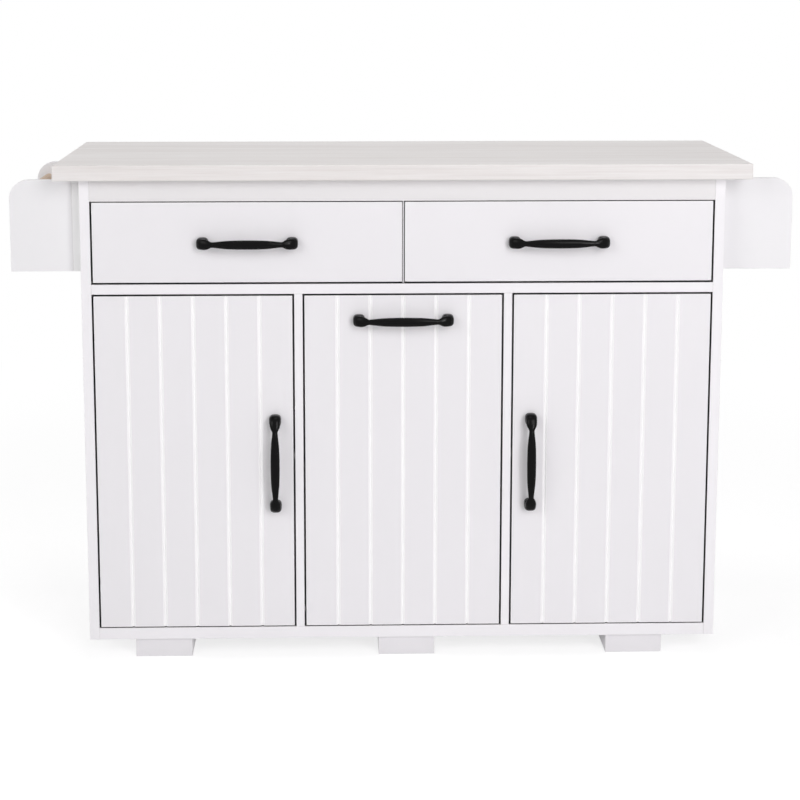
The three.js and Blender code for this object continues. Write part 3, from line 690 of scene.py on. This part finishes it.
def catmull(points, steps):
    """Points on a smooth curve through the given ones, each a list of numbers."""
    padded = [points[0], *points, points[-1]]
    curve = []
    for p0, p1, p2, p3 in zip(padded, padded[1:], padded[2:], padded[3:]):
        for i in range(steps):
            t = i / steps
            curve.append([0.5 * (2 * b + (c - a) * t + (2 * a - 5 * b + 4 * c - d) * t ** 2
                                 + (3 * b - a - 3 * c + d) * t ** 3)
                          for a, b, c, d in zip(p0, p1, p2, p3)])
    curve.append(list(points[-1]))
    return curve


def squared(value, square):
    """A sine or cosine bent so that the ring nears a square, where 2 keeps it round."""
    return math.copysign(abs(value) ** (2 / square), value)


def pull_shape():
    solid = bmesh.new()
    half = [(PULL_HALF - inward, *rest) for inward, *rest in HALF_PULL]
    stations = catmull(half + [(-along, *rest) for along, *rest in half[-2::-1]], STEPS)
    rings = []
    for i, (along, out, across, thick, square) in enumerate(stations):
        before, after = stations[max(i - 1, 0)], stations[min(i + 1, len(stations) - 1)]
        tangent = Vector((0, before[1] - after[1], after[0] - before[0])).normalized()
        normal = Vector((0, -tangent.z, tangent.y))
        if i in (0, len(stations) - 1):
            normal = Vector((0, 0, 1 if i == 0 else -1))
        ring = []
        for side in range(RING_SIDES):
            angle = 2 * math.pi * side / RING_SIDES
            high, wide = squared(math.cos(angle), square), squared(math.sin(angle), square)
            point = (Vector((0, -out, along)) + normal * thick * high
                     + Vector((across * wide, 0, 0)))
            ring.append(solid.verts.new((point.x * MM, min(point.y, 0) * MM, point.z * MM)))
        rings.append(ring)
    for one, two in zip(rings, rings[1:]):
        for quad in zip(one, one[1:] + one[:1], two[1:] + two[:1], two):
            solid.faces.new(quad)
    for end in (rings[0], rings[-1]):
        solid.faces.new(end)
    bmesh.ops.recalc_face_normals(solid, faces=solid.faces)
    mesh = mesh_of(solid)
    mesh.polygons.foreach_set("use_smooth", [True] * len(mesh.polygons))
    mesh.set_sharp_from_angle(angle=CREASE)
    return mesh


pull = pull_shape()
handles = {}  # the CAD node of each pull, and whether it lies level
for node in (name for name in body_of if name.endswith("_handle")):
    low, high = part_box(node)
    handles[node] = high.x - low.x > high.z - low.z
    turn = Matrix.Rotation(QUARTER if handles[node] else 0, 4, "Y")
    shape = pull.copy()
    shape.transform(Matrix.Translation(face_middle(low, high, high.y)) @ turn)
    dress("cast", node, shape, cast_black)
print(len(handles), "pulls of", len(pull.polygons), "faces")

# %% [markdown]
# ## Side racks
# Each rack has two end panels with one large rounded corner. The CAD panel has a few straight
# steps there, which would show, so the panel is drawn again with a finer arc and pushed to its
# thickness. The other rack boards are softened as before.

# %% Rack panels, boards and the towel bar
RACK_CORNER, ARC_STEPS = 34 * MM, 24
RACK_ROUND, BAR_ROUND = 0.6, 0.4
BAR_SIDES = 56


def pushed(points, depth):
    """A closed outline of 3-D points pushed along a vector into a solid."""
    solid = bmesh.new()
    face = solid.faces.new([solid.verts.new(p) for p in points])
    far_side = bmesh.ops.extrude_face_region(solid, geom=[face])["geom"]
    bmesh.ops.translate(solid, vec=depth,
                        verts=[v for v in far_side if isinstance(v, bmesh.types.BMVert)])
    bmesh.ops.recalc_face_normals(solid, faces=solid.faces)
    return solid


def end_panel(node):
    low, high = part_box(node)
    outer = low.x if abs(low.x) > abs(high.x) else high.x
    inner = low.x + high.x - outer
    sign = math.copysign(1, outer)
    arc = [QUARTER * i / ARC_STEPS for i in range(ARC_STEPS + 1)]
    points = [(inner, low.y, low.z), (outer, low.y, low.z)]
    points += [(outer - sign * RACK_CORNER * (1 - math.cos(a)), low.y,
                high.z - RACK_CORNER * (1 - math.sin(a))) for a in arc]
    points.append((inner, low.y, high.z))
    solid = pushed(points, (0, high.y - low.y, 0))
    dress("soft", node, soften(solid, RACK_ROUND, segments=3), rack_paint)


for rack in ("towel_rack", "spice_rack"):
    for place in ("front", "rear"):
        end_panel(f"{rack}_end_{place}")
for node, paint in (("towel_rack_board", lit_board_paint), ("spice_rack_shelf", rack_paint),
                    ("spice_rack_rail", rack_paint)):
    soft_board(node, RACK_ROUND, paint, segments=3)
low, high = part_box("towel_bar")
size = high - low
lying = Matrix.Translation((low + high) / 2) @ Matrix.Rotation(QUARTER, 4, "X")
bar = bmesh.new()
bmesh.ops.create_cone(bar, cap_ends=True, segments=BAR_SIDES, radius1=size.z / 2,
                      radius2=size.z / 2, depth=size.y, matrix=lying)
dress("turned", "towel_bar", soften(bar, BAR_ROUND), bar_wood)
print("racks and towel bar made")

# %% [markdown]
# ## Holes for shelf pins
# The boards beside the two shelves have rows of small holes, so that a shelf can be set higher
# or lower. They follow a rule: a fixed pitch of 32 mm, in two rows. One tree drills any board
# that is handed to it, because the board comes in as the modifier's own geometry.

# %% Tree: drilled board
HOLE_SIDES = 14
tree, given = shape_tree("drilled_board", {
    "First Hole": (0, 0, 0), "Row Step": (0, 0.26, 0), "Pitch": 0.032, "Holes": 13,
    "Radius": 0.0026, "Depth": 0.01})
drill = rod(tree, HOLE_SIDES, given["Radius"], times(given["Depth"], 2.0))
second = vector_plus(given["First Hole"], given["Row Step"])
rows = [row_of(tree, drill, given["Holes"], start, xyz(tree, z=given["Pitch"]),
               turn=(0, QUARTER, 0)) for start in (given["First Hole"], second)]
painted(tree, given, boolean(tree, "DIFFERENCE", rows, given["Geometry"]))

# %% Drill the boards beside the shelves
PIN_ROWS = (-130 * MM, 130 * MM)
PIN_PITCH, PIN_HOLES, HOLE_DEPTH = 32 * MM, 13, 9 * MM
PIN_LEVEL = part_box("shelf_left")[0].z - 2.5 * MM  # the pins' centres, just under the shelves
drilled = {"side_panel_left": 1, "divider_left": -1, "divider_right": 1, "side_panel_right": -1}
pin_faces = {}
for node, way in drilled.items():
    low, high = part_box(node)
    pin_faces[node] = high.x if way > 0 else low.x
    board = bpy.data.objects[f"soft_{node}"]
    board.data = grown("drilled_board", {
        "First Hole": (pin_faces[node], PIN_ROWS[0], PIN_LEVEL - PIN_PITCH * (PIN_HOLES // 2)),
        "Row Step": (0, PIN_ROWS[1] - PIN_ROWS[0], 0), "Pitch": PIN_PITCH, "Holes": PIN_HOLES,
        "Depth": HOLE_DEPTH, "Material": cabinet_paint}, board.data)
print(len(drilled), "boards with", 2 * PIN_HOLES, "holes each")

# %% [markdown]
# ## The fittings in steel
# Slides and brackets are pressed from sheet, so their edges are softened only a little. The
# concealed hinges get more: a dish let into the door, and an arm on a plate with wings.
# The dish repeats four times, so a tree makes it from its sizes. The arm is two outlines pushed
# to a thickness and welded by a tree that joins whatever shells it is handed.

# %% Slides, plates and channels
SHEET_ROUND = 0.35
SHEET_WORDS = ("slide_channel", "slide_rail", "bracket_plate", "bracket_channel")
pressed = [node for node in body_of if any(word in node for word in SHEET_WORDS)]
for node in pressed:
    soft_board(node, SHEET_ROUND, zinc_steel)
print(len(pressed), "slides and bracket parts softened")

# %% Tree: hinge dish
tree, given = shape_tree("hinge_dish", {
    "Centre": (0, 0, 0), "Radius": 0.0175, "Wall": 0.0015, "Depth": 0.011,
    "Flange": (0.022, 0.0012, 0.056)})


def dish_cylinder(radius, low, high):
    shape = rod(tree, CUP_SIDES, radius, minus(high, low))
    middle = times(plus(high, low), 0.5)
    return moved(tree, shape, xyz(tree, y=middle), (QUARTER, 0, 0))


thick = parts_of(tree, given["Flange"])["Y"]
floor_level = times(given["Depth"], -1.0)
flange = moved(tree, block(tree, given["Flange"]), xyz(tree, y=times(thick, 0.5)))
outer = boolean(tree, "UNION", [flange, dish_cylinder(given["Radius"], floor_level, thick)])
inner = dish_cylinder(minus(given["Radius"], given["Wall"]),
                      plus(floor_level, given["Wall"]), times(thick, 3.0))
dish = boolean(tree, "DIFFERENCE", [inner], outer)
painted(tree, given, moved(tree, dish, given["Centre"]))

# %% Tree: weld shells
tree, given = shape_tree("welded_shells", {})
painted(tree, given, boolean(tree, "UNION", [given["Geometry"]], crossing=True))


def weld_all(shells):
    """Closed bmesh shells joined into one closed mesh, without walls inside."""
    joined = bmesh.new()
    for shell in shells:
        joined.from_mesh(mesh_of(shell))
    return tidy(grown("welded_shells", {"Material": zinc_steel}, mesh_of(joined)))


# %% Hinge dishes and arms
CUP_WALL, FLANGE_WIDE, ARM_HALF, PLATE_THICK = 1.5 * MM, 22 * MM, 7 * MM, 2 * MM
ARM_SIDE = [(2, 54), (7.2, 55.6), (9, 52), (9, 30), (10.7, 24), (10.7, 3), (8.5, 0.3),
            (3, 0.3), (0.5, 3), (0.5, 9), (2, 12)]  # mm off the panel, mm from the arm's front
WINGS = [(12, 20), (14, 22), (33, 22), (35.5, 20), (38.5, 9.5), (50, 9.5)]  # upper half
DISH_ROUND, ARM_ROUND = 0.25, 0.3
DISH_SCREWS_UP, PLATE_SCREWS_UP, PLATE_SCREWS_ALONG = 22.5 * MM, 16 * MM, 22 * MM
ARM_SCREWS_OFF, ARM_SCREWS_ALONG = 9 * MM, (35 * MM, 46 * MM)
HEADS = {"dish": 3.1, "plate": 3.4, "arm": 2.6, "wing": 3.0, "pull": 4.2, "box": 3.4,
         "slide": 2.8}  # radius of each kind of screw head in mm
BACK, FRONT, UP, DOWN = (0, 1, 0), (0, -1, 0), (0, 0, 1), (0, 0, -1)
screws = {body: [] for body in bodies}


def screw(kind, body, place, way):
    screws[body].append((Vector(place), way, HEADS[kind]))


def hinge(door, level, sign):
    cup, arm = f"{door}_hinge_cup_{level}", f"{door}_hinge_arm_{level}"
    low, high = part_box(cup)
    door_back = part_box(door)[1].y
    centre = face_middle(low, high, door_back)
    flange_thick = high.y - door_back
    dish = tidy(grown("hinge_dish", {
        "Centre": centre, "Radius": CUP_RADIUS, "Wall": CUP_WALL, "Depth": CUP_DEPTH,
        "Flange": (FLANGE_WIDE, flange_thick, high.z - low.z), "Material": zinc_steel}))
    dress("fine", cup, soften(dish, DISH_ROUND), zinc_steel)
    for up in (-DISH_SCREWS_UP, DISH_SCREWS_UP):
        screw("dish", door, centre + Vector((0, flange_thick, up)), BACK)

    low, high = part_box(arm)
    wall = high.x if sign > 0 else low.x
    side = pushed([(wall - sign * off * MM, low.y + along * MM, centre.z - ARM_HALF)
                   for off, along in ARM_SIDE], (0, 0, 2 * ARM_HALF))
    outline = WINGS + [(along, -up) for along, up in reversed(WINGS)]
    wings = pushed([(wall, low.y + along * MM, centre.z + up * MM) for along, up in outline],
                   (-sign * PLATE_THICK, 0, 0))
    dress("fine", arm, soften(weld_all([side, wings]), ARM_ROUND), zinc_steel)
    for up in (-PLATE_SCREWS_UP, PLATE_SCREWS_UP):
        place = (wall - sign * PLATE_THICK, low.y + PLATE_SCREWS_ALONG, centre.z + up)
        screw("plate", "cabinet", place, (-sign, 0, 0))
    for along in ARM_SCREWS_ALONG:
        screw("arm", "cabinet", (wall - sign * ARM_SCREWS_OFF, low.y + along, centre.z),
              (-sign, 0, 0))


for door, sign in (("left_door", -1), ("right_door", 1)):
    for level in ("lower", "upper"):
        hinge(door, level, sign)
print("four concealed hinges")

# %% [markdown]
# ## The leaf's long hinge
# The leaf hangs on one piano hinge along its whole edge. Short knuckles belong to the two wings
# in turn, which is a rule, so a tree sets them on a line: a tube and the tab that rolls into it.
# The same tree makes both wings. Only the first knuckle's place and the side of the tab differ.

# %% Tree: knuckled wing
KNUCKLE_SIDES = 18
tree, given = shape_tree("knuckled_wing", {
    "First Knuckle": (0, 0, 0), "Step": 0.037, "Knuckles": 33, "Radius": 0.004,
    "Length": 0.018, "Tab Size": (0, 0, 0), "Tab Place": (0, 0, 0)})
tube = moved(tree, rod(tree, KNUCKLE_SIDES, given["Radius"], given["Length"]),
             turn=(0, QUARTER, 0))
tab_size = vector_plus(given["Tab Size"], xyz(tree, given["Length"]))
tab = moved(tree, block(tree, tab_size), given["Tab Place"])
knuckle = put(tree, "GeometryNodeJoinGeometry")
for part in (tube, tab):
    tree.links.new(part, knuckle.inputs[0])
rolled = row_of(tree, knuckle.outputs[0], given["Knuckles"], given["First Knuckle"],
                xyz(tree, given["Step"]))
painted(tree, given, boolean(tree, "UNION", [given["Geometry"], rolled], crossing=True))

# %% Both wings
KNUCKLES, KNUCKLE_GAP = 65, 0.3 * MM
KNUCKLE_RADIUS, WING_THICK, WING_CLEAR, TAB_LAP = 4 * MM, 1.5 * MM, 0.6 * MM, 1.0 * MM
WING_ROUND, HINGE_SCREWS = 0.2, 13
fixed_low, fixed_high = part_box("leaf_hinge_fixed")
moving_low, moving_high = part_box("leaf_hinge_moving")
pin_at = Vector((0, moving_low.y + KNUCKLE_RADIUS, fixed_low.z + KNUCKLE_RADIUS))
step = (fixed_high.x - fixed_low.x) / KNUCKLES
reach = KNUCKLE_RADIUS + WING_CLEAR
tab_long = reach + TAB_LAP


def leaf_wing(node, low, high, odd, tab_size, tab_place):
    plate = mesh_of(plain_bar(low, high, WING_ROUND, segments=1))
    mesh = grown("knuckled_wing", {
        "First Knuckle": (fixed_low.x + (odd + 0.5) * step, pin_at.y, pin_at.z),
        "Step": 2 * step, "Knuckles": KNUCKLES // 2 + 1 - odd, "Radius": KNUCKLE_RADIUS,
        "Length": step - KNUCKLE_GAP, "Tab Size": tab_size, "Tab Place": tab_place,
        "Material": zinc_steel}, plate)
    dress("fine", node, tidy(mesh), zinc_steel)


leaf_wing("leaf_hinge_fixed", Vector((fixed_low.x, fixed_low.y, fixed_high.z - WING_THICK)),
          Vector((fixed_high.x, pin_at.y - reach, fixed_high.z)), 0,
          (0, tab_long, WING_THICK),
          (0, -tab_long / 2, fixed_high.z - WING_THICK / 2 - pin_at.z))
leaf_wing("leaf_hinge_moving", Vector((moving_low.x, moving_high.y - WING_THICK, moving_low.z)),
          Vector((moving_high.x, moving_high.y, pin_at.z - reach)), 1,
          (0, WING_THICK, tab_long),
          (0, moving_high.y - WING_THICK / 2 - pin_at.y, -tab_long / 2))
for i in range(HINGE_SCREWS):
    x = fixed_low.x + (fixed_high.x - fixed_low.x) * (i + 0.5) / HINGE_SCREWS
    screw("wing", "cabinet",
          (x, (fixed_low.y + pin_at.y - reach) / 2, fixed_high.z - WING_THICK), DOWN)
    screw("wing", "leaf",
          (x, moving_high.y - WING_THICK, (moving_low.z + pin_at.z - reach) / 2), FRONT)
print(KNUCKLES, "knuckles of", round(step / MM, 1), "mm")

# %% [markdown]
# ## Struts of the leaf brackets
# Each strut is a flat bar with round ends: one outline, two half circles and the straight
# between them, pushed to its thickness. A rivet head on each ear of the wall plate shows where
# it turns.

# %% Struts
END_STEPS, STRUT_ROUND = 20, 0.6
EAR_OUT, RIVET_HEAD = 8.1 * MM, 4.2
SHEET_THICK = 3 * MM
BRACKET_SCREWS = (18 * MM, 58 * MM, 116 * MM, 148 * MM)  # up from the plate's foot
CHANNEL_SCREWS = (0.12, 0.5, 0.88)  # shares of the channel's length
rivets = []
for side in ("left", "right"):
    node = f"{side}_bracket_strut"
    low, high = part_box(node)
    half = (high.y - low.y) / 2
    outline = []
    for centre_z, start in ((high.z - half, 0), (low.z + half, math.pi)):
        for i in range(END_STEPS + 1):
            angle = start + math.pi * i / END_STEPS
            outline.append((low.x, low.y + half + half * math.cos(angle),
                            centre_z + half * math.sin(angle)))
    strut = pushed(outline, (high.x - low.x, 0, 0))
    dress("round", node, soften(strut, STRUT_ROUND), zinc_steel)
    middle = (low.x + high.x) / 2
    for way in (-1, 1):
        ear = Vector((middle + way * EAR_OUT, low.y + half, high.z - half))
        rivets.append((ear, (way, 0, 0), RIVET_HEAD))
    plate_low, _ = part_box(f"{side}_bracket_plate")
    for up in BRACKET_SCREWS:
        screw("plate", "cabinet", (middle, plate_low.y + SHEET_THICK, plate_low.z + up), BACK)
    channel_low, channel_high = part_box(f"{side}_bracket_channel")
    for share in CHANNEL_SCREWS:
        z = channel_low.z + share * (channel_high.z - channel_low.z)
        screw("wing", "leaf", (middle, channel_high.y - SHEET_THICK, z), FRONT)
print("two struts with", 2 * END_STEPS, "steps round their ends")

# %% [markdown]
# ## Screws, rivets and nails
# Every one is a copy of the same head, so they are instances on points. A point carries two
# attributes: the way its screw faces, and its radius. One node turns a head to face that
# way, another spins it by a random angle from a fixed seed, because no two screws stop at
# the same angle.

# %% Points that carry a facing and a size
def spots_mesh(spots):
    mesh = bpy.data.meshes.new("spots")
    mesh.from_pydata([place for place, _, _ in spots], [], [])
    facing = mesh.attributes.new("facing", "FLOAT_VECTOR", "POINT")
    facing.data.foreach_set("vector", [float(n) for _, way, _ in spots for n in way])
    radius = mesh.attributes.new("radius", "FLOAT", "POINT")
    radius.data.foreach_set("value", [size * MM for _, _, size in spots])
    return mesh


def head_tree(name, inputs):
    """The start of a tree that sets heads on points. The caller builds a head of radius 1."""
    return shape_tree(name, inputs | {"Seed": 7})


def attribute(tree, name, kind):
    return made(tree, "GeometryNodeInputNamedAttribute", {"Name": name}, data_type=kind)


def set_on_points(tree, given, head):
    radius = attribute(tree, "radius", "FLOAT")
    turned = made(tree, "FunctionNodeAlignRotationToVector", {
        "Vector": attribute(tree, "facing", "FLOAT_VECTOR")}, axis="Z")
    angle = put(tree, "FunctionNodeRandomValue", {2: 0.0, 3: 2 * math.pi, "Seed": given["Seed"]},
                data_type="FLOAT").outputs[1]
    spin = made(tree, "FunctionNodeAxisAngleToRotation", {"Axis": UP, "Angle": angle})
    turned = made(tree, "FunctionNodeRotateRotation", {0: turned, 1: spin},
                  rotation_space="LOCAL")
    size = xyz(tree, radius, radius, radius)
    painted(tree, given, instances(tree, given["Geometry"], head, turned, size))


# %% Tree: cross-head screws
SCREW_SIDES = 22
tree, given = head_tree("cross_head_screws", {
    "Height": 0.5, "Crown": 0.7, "Cross": 0.62, "Slot": 0.2})
head = made(tree, "GeometryNodeMeshCone", {
    "Vertices": SCREW_SIDES, "Radius Top": given["Crown"], "Radius Bottom": 1.0,
    "Depth": given["Height"]})
cross_long = times(given["Cross"], 2.0)
arms = [moved(tree, block(tree, xyz(tree, *across, given["Height"])),
              xyz(tree, z=given["Height"]))
        for across in ((cross_long, given["Slot"]), (given["Slot"], cross_long))]
set_on_points(tree, given, boolean(tree, "DIFFERENCE", arms, head))

# %% Tree: plain heads and pins
tree, given = head_tree("studs", {"Length": 0.4, "Crown": 0.8, "Sides": 20})
stud = made(tree, "GeometryNodeMeshCone", {
    "Vertices": given["Sides"], "Radius Top": given["Crown"], "Radius Bottom": 1.0,
    "Depth": given["Length"]})
set_on_points(tree, given, stud)

# %% Where the other screws go
BOX_WALL, SLIDE_THICK = 12 * MM, 1.5 * MM
BOX_SCREWS_IN, BOX_SCREWS_UP, BOX_SCREWS_DOWN = 45 * MM, 28 * MM, 24 * MM
SLIDE_SCREWS = (0.08, 0.5, 0.92)  # shares of the slide's length
for node, level in handles.items():
    body = body_of[node]
    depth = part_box("left_drawer_front")[1].y + (BOX_WALL if "drawer" in body else 0)
    middle = face_middle(*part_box(node), depth)
    for way in (-PULL_HALF * MM, PULL_HALF * MM):
        screw("pull", body, middle + Vector((way, 0, 0) if level else (0, 0, way)), BACK)
for body, node in (("left_drawer", "left_drawer_box"), ("right_drawer", "right_drawer_box"),
                   ("bin_unit", "bin_carrier")):
    low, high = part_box(node)
    for x in (low.x + BOX_SCREWS_IN, high.x - BOX_SCREWS_IN):
        for z in (low.z + BOX_SCREWS_UP, high.z - BOX_SCREWS_DOWN):
            screw("box", body, (x, low.y + BOX_WALL, z), BACK)
for node in ("left_drawer_slide_channel", "right_drawer_slide_channel", "bin_slide_channel"):
    low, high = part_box(node)
    for share in SLIDE_SCREWS:
        screw("slide", "cabinet", ((low.x + high.x) / 2, low.y + share * (high.y - low.y),
                                   low.z + SLIDE_THICK), UP)

FLUSH, PROUD = 0.12, 0.5  # a head's height as a share of its radius
for body, spots in screws.items():
    if spots:
        height = FLUSH if body == "leaf" else PROUD
        mesh = grown("cross_head_screws", {"Height": height, "Material": zinc_steel},
                     spots_mesh(spots))
        add_piece(f"{body}_screws", mesh, body, zinc_steel)
print({body: len(spots) for body, spots in screws.items()})

# %% Rivets, nails, shelf pins and caps
def studs(name, spots, length, crown, sides, material=zinc_steel):
    """Studs on the cabinet. Length and crown are shares of the radius."""
    mesh = grown("studs", {"Length": length, "Crown": crown, "Sides": sides,
                           "Material": material}, spots_mesh(spots))
    add_piece(name, mesh, "cabinet", material)
    print(len(spots), name)


studs("bracket_rivets", rivets, length=0.3, crown=0.7, sides=24)
NAIL_PITCH, NAIL_IN, NAIL_HEAD = 0.118, 7 * MM, 2.2
PIN_HEAD, CAP_HEAD = 2.4, 6.0
CAP_IN, CAP_UP, CAP_DOWN = 46 * MM, 30 * MM, 60 * MM
low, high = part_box("back_panel")
across = round((high.x - low.x) / NAIL_PITCH)
upright = round((high.z - low.z) / NAIL_PITCH)
x0, x1, z0, z1 = low.x + NAIL_IN, high.x - NAIL_IN, low.z + NAIL_IN, high.z - NAIL_IN
places = [(x0 + (x1 - x0) * i / across, z) for i in range(across + 1) for z in (z0, z1)]
places += [(x, z0 + (z1 - z0) * i / upright) for i in range(1, upright) for x in (x0, x1)]
nails = [(Vector((x, high.y, z)), BACK, NAIL_HEAD) for x, z in places]
studs("back_nails", nails, length=0.2, crown=0.75, sides=12)
pins = [(Vector((pin_faces[node], y, PIN_LEVEL)), (way, 0, 0), PIN_HEAD)
        for node, way in drilled.items() for y in PIN_ROWS]
studs("shelf_pins", pins, length=3.6, crown=0.92, sides=16)
low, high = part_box("towel_rack_board")
caps = [(Vector((low.x, y, z)), (-1, 0, 0), CAP_HEAD)
        for y in (low.y + CAP_IN, high.y - CAP_IN) for z in (low.z + CAP_UP, high.z - CAP_DOWN)]
studs("rack_caps", caps, length=0.16, crown=0.88, sides=32, material=moulded_white)

# %% [markdown]
# ## Door catches
# In the photograph a light spot shows in the gap beside each door, at half height: the white
# body of a magnetic catch on the divider. A lip of it reaches forward into the gap. Each door
# carries the steel strike plate that the magnet holds. A small white bumper stands in the bin
# front's gap, near its foot.

# %% Catches, strike plates and the bumper
CATCH = (0, 13, 1.4, 17, 374.5, 386.5)  # mm off the divider's face, behind the fronts, and up
LIP = (0, 2.1, -9, 3, 374.5, 386.5)
STRIKE = (5, 19, 0, 0.9, 368.5, 392.5)
BUMPER = (0, 2.1, -9, 6, 84, 92)
CATCH_ROUND, LIP_ROUND, STRIKE_ROUND = 0.8, 0.4, 0.2
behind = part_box("left_door")[1].y


def beside(divider, sign, spans, radius):
    """A softened bar beside a divider, from two distances each off, behind and up."""
    low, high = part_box(divider)
    face = low.x if sign < 0 else high.x
    near, far, y0, y1, z0, z1 = (span * MM for span in spans)
    ends = sorted((face + sign * near, face + sign * far))
    return plain_bar(Vector((ends[0], behind + y0, z0)), Vector((ends[1], behind + y1, z1)),
                     radius)


for sign, side in ((-1, "left"), (1, "right")):
    divider = f"divider_{side}"
    shells = [beside(divider, sign, CATCH, CATCH_ROUND), beside(divider, sign, LIP, LIP_ROUND)]
    add_piece(f"{side}_catch", weld_all(shells), "cabinet", moulded_white)
    strike = beside(divider, sign, STRIKE, STRIKE_ROUND)
    add_piece(f"{side}_strike", strike, f"{side}_door", zinc_steel)
bumper = beside("divider_left", 1, BUMPER, LIP_ROUND)
add_piece("bin_bumper", bumper, "cabinet", moulded_white)
print("two catches, two strike plates, one bumper")
